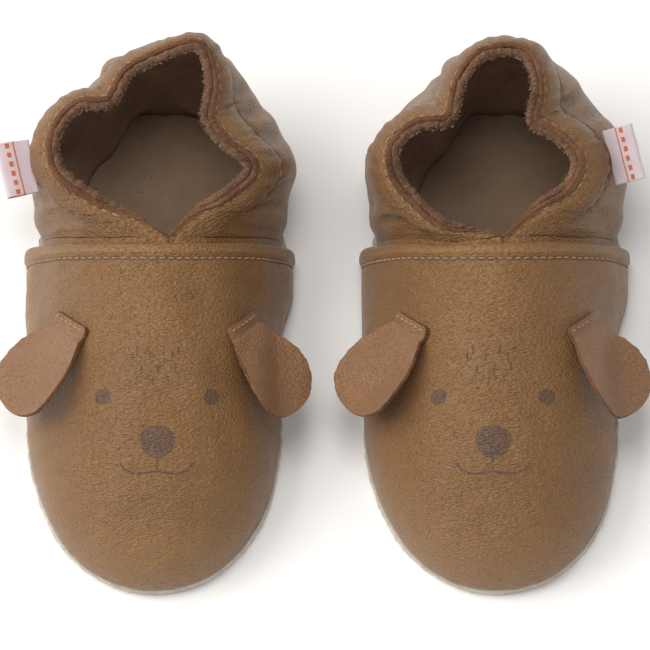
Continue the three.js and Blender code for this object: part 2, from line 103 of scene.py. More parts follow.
EAR_TIP_SHIFT = 1.8
EAR_CREASE_LENGTH = 12
EAR_LIFT = math.radians(20)
LABEL_WIDTH = 14
LABEL_REACH = 7
LABEL_RIBBON = 0.4
LABEL_LOOP = 1.0
LABEL_STATION = 0.62

# Handles of the curve that each wall follows, at the toe and instep and then at the ankle.
LOWER_HANDLE_HEIGHT = 0.6
LOWER_HANDLE_LEAN = (0.4, 0.1)
UPPER_HANDLE_REACH = (0.62, 0.35)
UPPER_HANDLE_DROP = (0, 0.28)
TOE_BULGE = 1.2
UPPER_BULGE = 0.75

# ---- sizes of the visible pieces alone ----
QUARTER_FRONT_GAP = 0.1       # half the gap between its front ends, narrower than the solids'
QUARTER_SWELL = 1.6           # beside the mouth's front
HEEL_PADDING = (9.5, 2.5)     # how far the lining swells inwards, left and right of the heel
LIP_DRAWN_IN = LIP_GAP + 2    # the sole's edge at the sides and heel
TAB_GAP = 0.4 * CLEARANCE     # between an ear's tab and the vamp
EAR_TAB_END = 2.8             # visible tab, behind the crease
EAR_STITCH_ROW = 1.8
EAR_TURN = 1.5                # the tab turns into the flap over this length
LABEL_ROOT = 1.4              # behind the label's seam, into the wall

# Seeds of the random draws that differ between the two booties.
SEEDS = {
    "left": {"gathers": 11, "fibres": 31, "vamp": 41},
    "right": {"gathers": 23, "fibres": 37, "vamp": 43},
}

# Mouth line from the left of its front point round the heel to the right of it. Each point is
# across from the centre line, back from the front point and up from the instep.
MOUTHS = {
    "left": [
        (-0.1, 0, 0), (-8, 6, 1.5), (-17, 11, 3), (-24.5, 16.5, 5.5), (-25.5, 24.5, 8), (-20, 31, 10),
        (-12, 31.5, 11.5), (-7.5, 38, 14.5), (0, 41.5, 16.5), (9.5, 44, 17.5), (12.5, 36.5, 14.5),
        (11.5, 27.5, 11.5), (16.5, 21, 9.5), (22.5, 16.5, 7), (17.5, 11.5, 4), (9, 7, 2), (0.1, 0, 0),
    ],
    "right": [
        (-0.1, 0, 0), (-9, 4, 1), (-17.5, 7.5, 3), (-24.5, 14.5, 5), (-25.5, 21.5, 7.5), (-20.5, 26, 9),
        (-12, 27, 11), (-9, 36.5, 14), (-3.5, 42.5, 16), (6, 42.5, 16), (9, 35, 14),
        (8, 26.5, 11.5), (15, 22.5, 9.5), (19, 18, 7), (16.5, 12, 4.5), (9, 6.5, 2), (0.1, 0, 0),
    ],
}
OUTER_SIDE = {"left": -1, "right": 1}

# How the worn shoes differ from the CAD's even shape: the right-hand side drawn in, the lean of each
# toe, and soft pulls, each with its centre, its reach and how far it moves the leather.
TUCK = 1.7
TOE_LEAN = {"left": 1.2, "right": 0.5}
PULLS = {
    "left": [((0, 13, 40), 9, (2.4, 0, 0)), ((-25, 52, 30), 11, (4.5, -2, 0))],
    "right": [
        ((0, 13, 40), 9, (1, 0, 0)),
        ((-27, 50, 30), 11, (5.5, -2, 0)),
        ((-12, 19, 42), 7, (-0.5, -2, 0)),
        ((11, 20, 42), 7, (0, 1.5, 0)),
    ],
}

# ---- values that follow from them ----
SEAT = SOLE_THICKNESS + CLEARANCE
MIDDLE = SOLE_LENGTH / 2
QUARTER_LOW = LINING_THICKNESS + CLEARANCE
QUARTER_HIGH = QUARTER_LOW + QUARTER_THICKNESS
VAMP_LINING_LOW = QUARTER_HIGH + LAP_CLEARANCE
VAMP_LOW = VAMP_LINING_LOW + VAMP_LINING_THICKNESS + CLEARANCE
VAMP_HIGH = VAMP_LOW + VAMP_THICKNESS
FRONT_WALL = VAMP_HIGH + LIP_GAP + LIP_WIDTH
BACK_WALL = QUARTER_HIGH + LIP_GAP + LIP_WIDTH
TOE_Y = -MIDDLE + FRONT_WALL
HEEL_Y = MIDDLE - BACK_WALL
BALL_Y = -MIDDLE + BALL_SETBACK
INSTEP_Y = -MIDDLE + MOUTH_FRONT
SIDE_Y = INSTEP_Y + MOUTH_FRONT_LEAN
BALL_HALF = SOLE_WIDTH / 2 - FRONT_WALL
HEEL_HALF = HEEL_WIDTH / 2 - BACK_WALL
HEEL_ROUND_Y = MIDDLE - HEEL_SETBACK
QUARTER_TURN = math.pi / 2
VAMP_END = QUARTER_TURN - VAMP_EDGE_SETBACK / (INSTEP_Y - TOE_Y)
LAP_STATION = 1 + QUARTER_LAP / (SIDE_Y - TOE_Y) / QUARTER_TURN


# ---- small maths ----

def mix(a, b, share):
    return a + (b - a) * share


def smooth(value, low, high):
    share = np.clip((value - low) / (high - low), 0, 1)
    return share * share * (3 - 2 * share)


def bump(value, middle, width):
    """1 at the middle and 0 a few widths away."""
    return np.exp(-((value - middle) / width) ** 2)


def unit(vectors):
    return vectors / np.maximum(np.linalg.norm(vectors, axis=-1, keepdims=True), 1e-12)


def soft_noise(points, size, seed, waves=9):
    """Smooth noise between about -1 and 1, whose features are about size across."""
    dice = np.random.default_rng(seed)
    directions = unit(dice.normal(size=(waves, 3)))
    rates = 2 * np.pi / size * dice.uniform(0.6, 1.5, waves)
    phases = dice.uniform(0, 2 * np.pi, waves)
    return sum(
        np.sin(points @ (direction * rate) + phase)
        for direction, rate, phase in zip(directions, rates, phases)
    ) / math.sqrt(waves)


def path_lengths(points):
    steps = np.linalg.norm(np.diff(points, axis=0), axis=-1)
    return np.concatenate([np.zeros((1,) + steps.shape[1:]), np.cumsum(steps, axis=0)])


def read_at(places, lengths, rows):
    """Rows of three values, given at some lengths, read at one place or at several."""
    return np.stack([np.interp(places, lengths, rows[:, axis]) for axis in range(3)], axis=-1)


# ---- the foot shape that every layer follows ----
# Station 0 is the middle of the heel, -1 and 1 are the mouth's front point on the left and right,
# and -2 and 2 meet at the tip of the toe. Height 0 is the top of a wall and 1 is the sole.

def half_width_at(y):
    if y < BALL_Y:
        return BALL_HALF * math.sqrt(max(0, 1 - ((BALL_Y - y) / (BALL_Y - TOE_Y)) ** 2))
    return mix(BALL_HALF, HEEL_HALF, smooth(y, BALL_Y, SIDE_Y))


def foot_edge(station):
    side = np.sign(station)
    away = abs(station)
    if away > 1:
        y = TOE_Y + (SIDE_Y - TOE_Y) * (1 - math.cos((2 - away) * QUARTER_TURN))
        return np.array([side * half_width_at(y), y, SEAT])
    straight = HEEL_ROUND_Y - SIDE_Y
    rounding = (HEEL_HALF + HEEL_Y - HEEL_ROUND_Y) * math.pi / 4
    along = (straight + rounding) * (1 - away) ** 1.25
    if along < straight:
        return np.array([side * HEEL_HALF, SIDE_Y + along, SEAT])
    angle = (along - straight) / rounding * QUARTER_TURN
    y = HEEL_ROUND_Y + (HEEL_Y - HEEL_ROUND_Y) * math.sin(angle)
    return np.array([side * HEEL_HALF * math.cos(angle), y, SEAT])


def foot_edge_outward(station):
    step = 0.004
    if abs(station) > 2 - step:
        return np.array([0.0, -1.0, 0.0])
    along = foot_edge(min(2, station + step)) - foot_edge(max(-2, station - step))
    return unit(np.array([-along[1], along[0], 0]))


def outwards(stations):
    return np.array([foot_edge_outward(station) for station in stations])


def crest(station):
    angle = (2 - abs(station)) * QUARTER_TURN
    along = 1 - math.cos(angle)
    rise = TOE_RISE * math.sin(angle) + (INSTEP_HEIGHT - SEAT - TOE_RISE) * along ** 1.5
    return np.array([0, TOE_Y + (INSTEP_Y - TOE_Y) * along, SEAT + rise])


def catmull_rom(points, share):
    """A point on a centripetal Catmull-Rom curve."""
    place = share * (len(points) - 1)
    first = min(int(place), len(points) - 2)
    before = points[first - 1] if first > 0 else 2 * points[0] - points[1]
    after = points[first + 2] if first + 2 < len(points) else 2 * points[-1] - points[-2]
    knots = [before, points[first], points[first + 1], after]
    gaps = [math.sqrt(np.linalg.norm(b - a)) for a, b in zip(knots, knots[1:])]
    slopes = [(b - a) / gap for a, b, gap in zip(knots, knots[1:], gaps)]
    start = slopes[0] - (knots[2] - knots[0]) / (gaps[0] + gaps[1]) + slopes[1]
    end = slopes[1] - (knots[3] - knots[1]) / (gaps[1] + gaps[2]) + slopes[2]
    t = place - first
    a, b = knots[1], knots[2]
    m, n = start * gaps[1], end * gaps[1]
    return a + m * t + (3 * (b - a) - 2 * m - n) * t ** 2 + (2 * (a - b) + m + n) * t ** 3


class FootShape:
    """The inside surface of one bootie, in millimetres, with its own mouth line."""

    SAMPLES = np.linspace(0, 1, 61)

    def __init__(self, side):
        rows = [(across, INSTEP_Y + back, INSTEP_HEIGHT + up) for across, back, up in MOUTHS[side]]
        self.mouth = np.array(rows, float)
        self.wall = lru_cache(maxsize=None)(self._wall)

    def _wall(self, station):
        away = abs(station)
        bottom = foot_edge(station)
        outward = foot_edge_outward(station)
        top = crest(station) if away > 1 else catmull_rom(self.mouth, (station + 1) / 2)
        reach = bottom - top
        height = top[2] - SEAT
        upright = smooth(1 - away, 0, 0.45)
        lean = mix(*LOWER_HANDLE_LEAN, upright) * reach[1]
        lower = bottom + np.array([0, -lean, LOWER_HANDLE_HEIGHT * height])
        lower = lower + outward * mix(TOE_BULGE * min(1, 2 - away), ANKLE_BULGE, upright)
        across = mix(*UPPER_HANDLE_REACH, upright) * reach[0]
        back = UPPER_HANDLE_REACH[1] * upright * reach[1]
        upper = top + np.array([across, back, -mix(*UPPER_HANDLE_DROP, upright) * height])
        upper = upper + outward * UPPER_BULGE * ANKLE_BULGE * upright
        handles = np.array([top, upper, lower, bottom])
        return handles, path_lengths(self.curve(handles, self.SAMPLES))

    @staticmethod
    def curve(handles, t):
        t = np.asarray(t)[..., None]
        a, b, c, d = handles
        return a * (1 - t) ** 3 + 3 * b * t * (1 - t) ** 2 + 3 * c * t ** 2 * (1 - t) + d * t ** 3

    def length(self, station):
        return self.wall(round(station, 6))[1][-1]

    def points(self, station, heights):
        handles, lengths = self.wall(round(station, 6))
        places = np.clip(heights, 0, 1) * lengths[-1]
        return self.curve(handles, np.interp(places, lengths, self.SAMPLES))

    def ankle(self, stations, heights):
        """Points and normals for each station and its row of heights."""
        step = 0.01
        points = []
        normals = []
        for station, row in zip(stations, heights):
            along = self.points(station + step, row) - self.points(station - step, row)
            down = self.points(station, row + step) - self.points(station, np.maximum(0, row - step))
            points.append(self.points(station, row))
            normals.append(unit(np.cross(along, down)))
        return np.array(points), np.array(normals)

    def instep(self, across, angles):
        """Points and normals for each angle and each place across, as [across, angle]."""
        step = 0.01

        def place(where, angle):
            station = 2 - angle / QUARTER_TURN
            left = self.points(-station, np.abs(where))
            right = self.points(station, np.abs(where))
            return np.where(where[:, None] < 0, left, right)

        points = []
        normals = []
        for angle in angles:
            right_of = place(np.minimum(1, across + step), angle)
            left_of = place(np.maximum(-1, across - step), angle)
            ahead = place(across, min(QUARTER_TURN, angle + step)) - place(across, max(0, angle - step))
            points.append(place(across, angle))
            normals.append(unit(np.cross(right_of - left_of, ahead)))
        normals[0][:] = (0, -1, 0)
        return np.array(points).transpose(1, 0, 2), np.array(normals).transpose(1, 0, 2)


# ---- materials ----

def rgb(red, green, blue):
    """A colour from display values of 0 to 255."""
    def linear(value):
        value /= 255
        return value / 12.92 if value <= 0.04045 else ((value + 0.055) / 1.055) ** 2.4
    return (linear(red), linear(green), linear(blue), 1)


class Shader:
    """A material whose nodes are added by short calls. Each call gives back an output socket."""

    def __init__(self, name, **constants):
        self.material = bpy.data.materials.new(name)
        self.material.use_nodes = True
        self.tree = self.material.node_tree
        self.surface = next(n for n in self.tree.nodes if n.type == "BSDF_PRINCIPLED")
        for socket, value in constants.items():
            self.surface.inputs[socket.replace("_", " ")].default_value = value

    def add(self, kind, *values, output=0, named=None, **settings):
        """A node with input values in order or by name, and its settings."""
        node = self.tree.nodes.new("ShaderNode" + kind)
        for key, value in settings.items():
            setattr(node, key, value)
        for socket, value in zip(node.inputs, values):
            self.put(socket, value)
        for key, value in (named or {}).items():
            self.put(node.inputs[key], value)
        return node.outputs[output]

    def put(self, socket, value):
        if isinstance(value, bpy.types.NodeSocket):
            self.tree.links.new(value, socket)
        elif value is not None:
            socket.default_value = value

    def set(self, socket, value):
        self.put(self.surface.inputs[socket], value)

    def finished(self, colour, normal):
        self.set("Base Color", colour)
        self.set("Normal", normal)
        return self.material

    def math(self, operation, *values, clamp=False):
        return self.add("Math", *values, operation=operation, use_clamp=clamp)

    def vector(self, operation, *values, output="Vector"):
        return self.add("VectorMath", *values, operation=operation, output=output)

    def place(self, scale=(1, 1, 1)):
        """Object position in millimetres, stretched."""
        position = self.add("TexCoord", output="Object")
        return self.vector("MULTIPLY", position, tuple(1000 * value for value in scale))

    def bands(self, where, rate, direction):
        """Waves in straight bands."""
        stretched = self.vector("SCALE", where, None, None, rate)
        return self.add("TexWave", stretched, output="Fac", bands_direction=direction)

    def shaded(self, colour, shade):
        """A colour times a grey value."""
        return self.blend(1.0, colour, self.add("CombineXYZ", shade, shade, shade), "MULTIPLY")

    def attribute(self, name, output="Vector"):
        return self.add("Attribute", attribute_name=name, output=output)

    def noise(self, where, scale, detail=3.0, roughness=0.55):
        named = {"Vector": where, "Scale": scale, "Detail": detail, "Roughness": roughness}
        return self.add("TexNoise", named=named, output="Fac")

    def cells(self, where, scale, feature="F1"):
        named = {"Vector": where, "Scale": scale}
        return self.add("TexVoronoi", named=named, output="Distance", feature=feature)

    def remap(self, value, low, high, new_low=0.0, new_high=1.0):
        return self.add("MapRange", value, low, high, new_low, new_high)

    def blend(self, share, first, second, mode="MIX"):
        node = self.tree.nodes.new("ShaderNodeMix")
        node.data_type = "RGBA"
        node.blend_type = mode
        for name, value in (("Factor_Float", share), ("A_Color", first), ("B_Color", second)):
            self.put(next(s for s in node.inputs if s.identifier == name), value)
        return next(s for s in node.outputs if s.identifier == "Result_Color")

    def clouded(self, where, scale, detail, roughness, dark, main):
        """Two dyes that drift into each other."""
        cloud = self.remap(self.noise(where, scale, detail, roughness), 0.3, 0.7)
        return self.blend(cloud, dark, main)

    def relief(self, height, distance, strength=1.0, below=None):
        named = {"Strength": strength, "Distance": distance * MM, "Height": height, "Normal": below}
        return self.add("Bump", named=named, output="Normal")


def grained_leather(name, main, dark, light, printed=False, gathered=False):
    """Smooth side of the leather: fine wavy grain, even dye, a painted highlight on raised ridges and edges
    and painted shade in the hollows of folds and grooves.
    """
    look = Shader(name, Specular_IOR_Level=0.5, Sheen_Weight=0.05, Sheen_Roughness=0.6)
    where = look.place()
    colour = look.clouded(where, 0.05, 4, 0.55, dark, main)
    grain = look.noise(look.place((0.6, 1.9, 1.9)), 1.4, 1.6, 0.5)
    pebbles = look.cells(look.place((0.7, 1.9, 1.9)), 1.5, "SMOOTH_F1")
    pits = look.noise(where, 4.5, 3, 0.6)
    speckle = look.remap(look.noise(where, 2.2, 3, 0.6), 0.35, 0.7, 0.96, 1.03)
    shade = look.math("MULTIPLY", look.remap(grain, 0.32, 0.68, 0.93, 1.05), speckle)
    colour = look.shaded(colour, shade)
    # Painted shade: where the fold mark is low, the colour blends towards a dark brown. Painted highlight:
    # where it is high, the colour blends towards the paler tone.
    fold = look.attribute("fold", output="Fac")
    colour = look.blend(look.remap(fold, -0.1, -1.0, 0, 0.6), colour, rgb(70, 46, 31))
    colour = look.blend(look.remap(fold, 0.15, 1.0, 0, 0.4), colour, light)
    if printed:
        colour = look.blend(face_print(look), colour, rgb(72, 52, 45))
    look.set("Roughness", look.remap(look.noise(where, 0.35, 3), 0.3, 0.7, 0.31, 0.42))
    normal = look.relief(look.noise(where, 0.3, 4, 0.5), 0.5, 0.5)
    if gathered:
        normal = crinkles(look, normal)
    normal = look.relief(grain, 0.6, 1.0, normal)
    normal = look.relief(look.math("MULTIPLY", pebbles, -1), 0.26, 0.8, normal)
    return look.finished(colour, look.relief(pits, 0.03, 0.5, normal))


def crinkles(look, normal):
    """Small creases that run along the elastic casing, deepest near the front of the mouth."""
    rim = look.attribute("surface")
    parts = look.add("SeparateXYZ", rim)
    _, depth, front = parts.node.outputs
    stretched = look.vector("MULTIPLY", rim, (0.35, 1.3, 0))
    waves = look.noise(stretched, 0.75, 4, 0.62)
    inside = look.math("MULTIPLY", look.remap(depth, 1.5, 4, 0, 1), look.remap(depth, 11, 17, 1, 0))
    across = look.noise(look.vector("MULTIPLY", rim, (1.2, 0.3, 0)), 0.6, 4, 0.6)
    height = look.math("ADD", look.math("MULTIPLY", waves, front), look.math("MULTIPLY", across, 0.55))
    return look.relief(look.math("MULTIPLY", height, inside), 0.8, 0.7, normal)


def suede(name, main, dark, pale, nap=1.0):
    """Rough side of the leather: short directional nap with pale fibre ends."""
    look = Shader(name, Roughness=0.95, Specular_IOR_Level=0.15, Sheen_Weight=0.45, Sheen_Roughness=0.5)
    look.surface.inputs["Sheen Tint"].default_value = pale
    where = look.place()
    colour = look.clouded(where, 0.12, 5, 0.6, dark, main)
    strands = look.noise(look.place((1, 1, 0.35)), 2.6, 6, 0.75)
    colour = look.blend(look.remap(strands, 0.52, 0.74, 0, 0.8), colour, pale)
    normal = look.relief(look.noise(where, 0.9, 4, 0.7), 0.3 * nap, 0.6)
    return look.finished(colour, look.relief(strands, 0.22 * nap, 0.8, normal))


def waxed_thread(name, main, dark):
    """Twisted thread: strands wind round each stitch."""
    look = Shader(name, Roughness=0.6, Specular_IOR_Level=0.35, Sheen_Weight=0.2)
    named = {"Vector": look.attribute("surface"), "Scale": 0.55, "Distortion": 0.6}
    twist = look.add("TexWave", named=named, output="Fac", bands_direction="DIAGONAL")
    colour = look.blend(look.remap(twist, 0.1, 0.8), dark, main)
    fuzz = look.remap(look.noise(look.place(), 3.5, 3), 0.35, 0.65, 0.82, 1.08)
    return look.finished(look.shaded(colour, fuzz), look.relief(twist, 0.1, 0.8))


def insole_fabric(name):
    """Felted grey-beige cloth with pale strands and a few dark specks."""
    look = Shader(name, Roughness=0.93, Specular_IOR_Level=0.15, Sheen_Weight=0.25)
    where = look.place()
    colour = look.clouded(where, 0.09, 5, 0.65, rgb(140, 115, 94), rgb(156, 131, 109))
    flecks = look.remap(look.noise(where, 1.8, 5, 0.8), 0.55, 0.72, 0, 0.7)
    colour = look.blend(flecks, colour, rgb(146, 124, 102))
    specks = look.remap(look.noise(where, 0.95, 2, 0.4), 0.69, 0.72, 0, 0.55)
    colour = look.blend(specks, colour, rgb(66, 52, 41))
    return look.finished(colour, look.relief(look.noise(where, 2.5, 5, 0.8), 0.25, 0.9))


def soft_foam(name):
    look = Shader(name, Roughness=0.95, Specular_IOR_Level=0.1)
    where = look.place()
    bubbles = look.cells(where, 2.2)
    colour = look.blend(look.remap(bubbles, 0.1, 0.6), rgb(216, 206, 184), rgb(238, 232, 218))
    return look.finished(colour, look.relief(bubbles, 0.25, 0.8))


def woven_band(name, main, dark, rate):
    """Ribbed elastic: fine ribs along the band and weave across it."""
    look = Shader(name, Roughness=0.8, Specular_IOR_Level=0.2, Sheen_Weight=0.2)
    where = look.attribute("surface")
    ribs = look.bands(where, rate, "Y")
    weave = look.bands(where, rate, "X")
    both = look.math("MULTIPLY", ribs, weave)
    colour = look.blend(look.remap(both, 0, 0.8), dark, main)
    return look.finished(colour, look.relief(both, 0.12, 0.7))


def satin_ribbon(name):
    """Pinkish-white woven satin with generic orange dashes and a red-orange back."""
    look = Shader(name, Roughness=0.38, Specular_IOR_Level=0.5, Sheen_Weight=0.3, Anisotropic=0.4)
    where = look.attribute("surface")
    threads = look.bands(where, 1.6, "X")
    weft = look.bands(where, 1.1, "Y")
    colour = look.blend(threads, rgb(214, 190, 196), rgb(236, 220, 224))
    parts = look.add("SeparateXYZ", where)
    reach, along, inside = parts.node.outputs

    def near(value, middle, distance):
        away = look.math("ABSOLUTE", look.math("SUBTRACT", value, middle))
        return look.math("LESS_THAN", away, distance)

    # A row of plain dashes and a line, across the outer face.
    dash = near(look.math("FRACT", look.math("DIVIDE", along, 2.4)), 0.5, 0.27)
    row = near(reach, 4.1, 0.55)
    border = near(reach, 2.5, 0.2)
    marks = look.math("MAXIMUM", look.math("MULTIPLY", dash, row), border)
    colour = look.blend(marks, colour, rgb(214, 98, 44))
    colour = look.blend(inside, colour, rgb(196, 62, 34))
    return look.finished(colour, look.relief(look.math("ADD", threads, weft), 0.06, 0.6))


def studio_floor(name):
    look = Shader(name, Roughness=0.75, Specular_IOR_Level=0.2)
    grain = look.noise(look.place(), 0.01, 2)
    look.set("Base Color", look.blend(grain, rgb(246, 245, 244), rgb(251, 250, 249)))
    return look.material


# ---- the printed face: two eyes, a nose, a mouth and a tuft of short dashes ----
# Places are across from the face's middle and forward from the vamp's back edge, along the leather.

FACE_SHIFT = {"left": -0.1, "right": -1.4}
EYE_PLACE = (12.0, 36.8)
EYE_RADIUS = 1.9
NOSE_PLACE = 47.6
NOSE_HALF = (4.2, 3.9)
MOUTH_PLACE = 55.0
MOUTH_BENDS = [(0, 0.4), (3.2, 0), (5.2, 0.1), (6.9, 0.9), (8, 2.5)]
TUFT_ROWS = [
    (25.7, (-4.3, 1.4, 4.5)),
    (27.1, (-5.5, -1.6, 3.2)),
    (29.6, (3.8,)),
    (30.4, (-3.4, 0.2)),
    (33, (-4.5, -0.9, 2.3)),
]
DASH_HALF = (0.22, 0.8)
LINE_HALF = (0.24, 0.26)


def distance_to_stroke(look, where, start, end):
    """Distance from a straight stroke between two places."""
    start = np.array(start, float)
    reach = np.array(end, float) - start
    away = look.vector("SUBTRACT", where, (*start, 0))
    along = look.vector("DOT_PRODUCT", away, (*reach, 0), output="Value")
    share = look.math("MULTIPLY", along, 1 / max(float(reach @ reach), 1e-6), clamp=True)
    nearest = look.vector("SCALE", (*reach, 0), None, None, share)
    return look.vector("DISTANCE", away, nearest, output="Value")


def face_print(look):
    """How much ink lies at each place, from 0 to 1."""
    wobble = look.add("TexNoise", look.attribute("surface"), None, 0.9, 3.0, output="Color")
    shaken = look.vector("SCALE", look.vector("SUBTRACT", wobble, (0.5, 0.5, 0.5)), None, None, 0.22)
    where = look.vector("MULTIPLY", look.vector("ADD", look.attribute("surface"), shaken), (1, 1, 0))

    def stroke(start, end, half_width):
        return look.math("SUBTRACT", distance_to_stroke(look, where, start, end), half_width)

    eyes = [(side * EYE_PLACE[0], EYE_PLACE[1]) for side in (-1, 1)]
    distances = [stroke(eye, eye, EYE_RADIUS) for eye in eyes]
    # Nose: a flat oval that narrows a little towards its lower end.
    nose = look.vector("SUBTRACT", where, (0, NOSE_PLACE, 0))
    parts = look.add("SeparateXYZ", nose)
    across, ahead, _ = parts.node.outputs
    narrow = look.remap(ahead, -NOSE_HALF[1], NOSE_HALF[1], 0.95 / NOSE_HALF[0], 1.25 / NOSE_HALF[0])
    wide = look.math("POWER", look.math("ABSOLUTE", look.math("MULTIPLY", across, narrow)), 2.1)
    tall = look.math("POWER", look.math("ABSOLUTE", look.math("DIVIDE", ahead, NOSE_HALF[1])), 2.1)
    oval = look.math("SUBTRACT", look.math("ADD", wide, tall), 1)
    distances.append(look.math("MULTIPLY", oval, 1.5))
    # Mouth: a short line down from the nose, and a shallow curve to each side.
    distances.append(stroke((0, NOSE_PLACE + 3), (0, MOUTH_PLACE - MOUTH_BENDS[0][1]), LINE_HALF[0]))
    for side in (-1, 1):
        bends = [(side * sideways, MOUTH_PLACE - back) for sideways, back in MOUTH_BENDS]
        for start, end in zip(bends, bends[1:]):
            distances.append(stroke(start, end, LINE_HALF[1]))
    width, half = DASH_HALF
    for ahead, row in TUFT_ROWS:
        for across in row:
            distances.append(stroke((across, ahead - half), (across, ahead + half), width))
    nearest = distances[0]
    for distance in distances[1:]:
        nearest = look.math("MINIMUM", nearest, distance)
    ink = look.remap(nearest, -0.12, 0.16, 1, 0)
    worn = look.remap(look.noise(look.place(), 1.5, 5, 0.75), 0.3, 0.66, 0.9, 0.5)
    return look.math("MULTIPLY", ink, worn)


# Each set is a main dye, a darker dye that drifts into it, and a paler tone used only for the painted
# highlight on raised folds and edges.
CAMEL = (rgb(127, 88, 43), rgb(121, 83, 40), rgb(149, 109, 62))
# The ears take a paler copy of the same camel leather: painted light, standing in for the brighter light on
# the ear flaps.
LIT_CAMEL = (rgb(139, 99, 64), rgb(132, 93, 59), rgb(158, 118, 82))
LOOKS = {
    "vamp": grained_leather("camel leather with print", *CAMEL, printed=True),
    "leather": grained_leather("camel leather", *CAMEL, gathered=True),
    "ear": grained_leather("camel leather painted lighter", *LIT_CAMEL),
    "raw_edge": suede("cut leather edge", rgb(118, 80, 57), rgb(66, 42, 30), rgb(184, 142, 112), 1.6),
    "lining": suede("dark brown suede", rgb(160, 130, 110), rgb(124, 98, 82), rgb(194, 164, 140)),
    "rim": suede("fuzzy suede edge", rgb(120, 84, 62), rgb(62, 40, 29), rgb(206, 168, 138), 2.4),
    "sole": suede("pale sole suede", rgb(206, 197, 184), rgb(176, 164, 148), rgb(238, 233, 224)),
    "fibre": suede("pale fibres", rgb(216, 182, 148), rgb(176, 138, 106), rgb(236, 214, 188), 0.4),
    "thread": waxed_thread("light brown thread", rgb(206, 168, 128), rgb(146, 108, 76)),
    "insole": insole_fabric("felted insole"),
    "foam": soft_foam("soft foam"),
    "elastic": woven_band("woven elastic", rgb(238, 236, 230), rgb(190, 186, 176), 2.0),
    "ribbon": satin_ribbon("satin ribbon"),
    "floor": studio_floor("white floor"),
}


# ---- mesh builders ----

def add_object(name, data):
    thing = bpy.data.objects.new(name, data)
    bpy.context.scene.collection.objects.link(thing)
    return thing


class Builder:
    """Places one bootie's pieces, given in its own millimetres, into the frame."""

    def __init__(self, side):
        low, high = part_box(f"{side}_outsole")
        self.side = side
        self.origin = np.array([(low[0] + high[0]) / 2, (low[1] + high[1]) / 2, low[2]])

    def to_frame(self, points):
        return self.settled(np.asarray(points, float).reshape(-1, 3)) * MM + self.origin

    def settled(self, points):
        """The points of the soft shoe after wear: its right-hand side drawn in and its toe leant left."""
        x, y = points[:, 0], points[:, 1]
        toe = smooth(-y, -BALL_Y + 15, MIDDLE - 8)
        tuck = TUCK * np.clip(x / BALL_HALF, 0, 1.2) ** 3 * smooth(-y, -13, 2) * (1 - 0.6 * toe)
        moved = points.copy()
        moved[:, 0] -= tuck + TOE_LEAN[self.side] * toe
        for centre, reach, shift in PULLS[self.side]:
            away = (points - np.array(centre)) / reach
            moved += np.exp(-(away ** 2).sum(axis=1))[:, None] * np.array(shift)
        return moved

    def from_frame(self, point):
        return (np.array(point) - self.origin) / MM

    def piece(self, name, points, faces, looks, slot, nodes, marks=None, sides=None, body="booties"):
        """One object. Marks are named values for each point, and sides the look of each face."""
        mesh = bpy.data.meshes.new(f"{self.side}_{name}_detail")
        mesh.from_pydata(self.to_frame(points).tolist(), [], faces)
        for look in looks:
            mesh.materials.append(LOOKS[look])
        if sides is not None:
            mesh.polygons.foreach_set("material_index", np.asarray(sides, np.int32))
        for key, values in (marks or {}).items():
            values = np.asarray(values, np.float32)
            kind = "FLOAT_VECTOR" if values.ndim > 1 else "FLOAT"
            field = mesh.attributes.new(key, kind, "POINT")
            field.data.foreach_set("vector" if values.ndim > 1 else "value", values.ravel())
        mesh.polygons.foreach_set("use_smooth", np.ones(len(mesh.polygons), bool))
        mesh.update()
        tidy(mesh)
        piece = add_object(mesh.name, mesh)
        if body:
            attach(piece, body)
        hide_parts(*[f"{self.side}_{node}" for node in nodes])
        return piece


def tidy(mesh):
    """Joins points that coincide and turns every face outwards."""
    shape = bmesh.new()
    shape.from_mesh(mesh)
    bmesh.ops.remove_doubles(shape, verts=shape.verts, dist=1e-7)
    bmesh.ops.recalc_face_normals(shape, faces=shape.faces)
    shape.to_mesh(mesh)
    shape.free()


def ring_faces(columns, ring):
    """Quads over columns of closed rings, and the strips that close the first and last ring."""
    faces = []
    for i in range(columns - 1):
        for j in range(ring):
            k = (j + 1) % ring
            faces.append((i * ring + j, (i + 1) * ring + j, (i + 1) * ring + k, i * ring + k))
    for i, turn in ((0, 1), (columns - 1, -1)):
        for j in range(ring // 2 - 1 + ring % 2):
            a, b = i * ring + j, i * ring + j + 1
            c, d = i * ring + ring - 2 - j, i * ring + ring - 1 - j
            corners = list(dict.fromkeys((a, b, c, d)))
            faces.append(tuple(corners[::turn]))
    return faces


def rolled_edge(points, normals, tangents, low, high, steps=6):
    """Points round the edge of a sheet, from its outside over its end to its inside."""
    middle = (low + high) / 2
    radius = (high - low) / 2
    rows = []
    for turn in np.linspace(0, math.pi, steps + 2)[1:-1]:
        out = (middle + radius * math.cos(turn))[:, None]
        past = (radius * math.sin(turn))[:, None]
        rows.append(points + normals * out + tangents * past)
    return np.stack(rows, axis=1)


def sheet_rings(points, normals, low, high, lift, inside_shift=0):
    """Rings through a sheet, from the last row outside up to the first row and back inside."""
    outside = points + normals * (high + lift)[..., None]
    inside = points + normals * (low + lift)[..., None] + inside_shift
    tangents = unit(points[:, 0] - points[:, 1])
    cap = rolled_edge(points[:, 0], normals[:, 0], tangents, (low + lift)[:, 0], (high + lift)[:, 0])
    return np.concatenate([outside[:, ::-1], cap, inside], axis=1), cap.shape[1]


def ring_values(values, cap):
    """A value for each point of a sheet, repeated for its rings."""
    edge = np.repeat(values[:, :1], cap, axis=1)
    return np.concatenate([values[:, ::-1], edge, values], axis=1)


def above_seat(points):
    points[..., 2] = np.maximum(points[..., 2], SEAT)
    return points


# ---- stitches and fibres ----

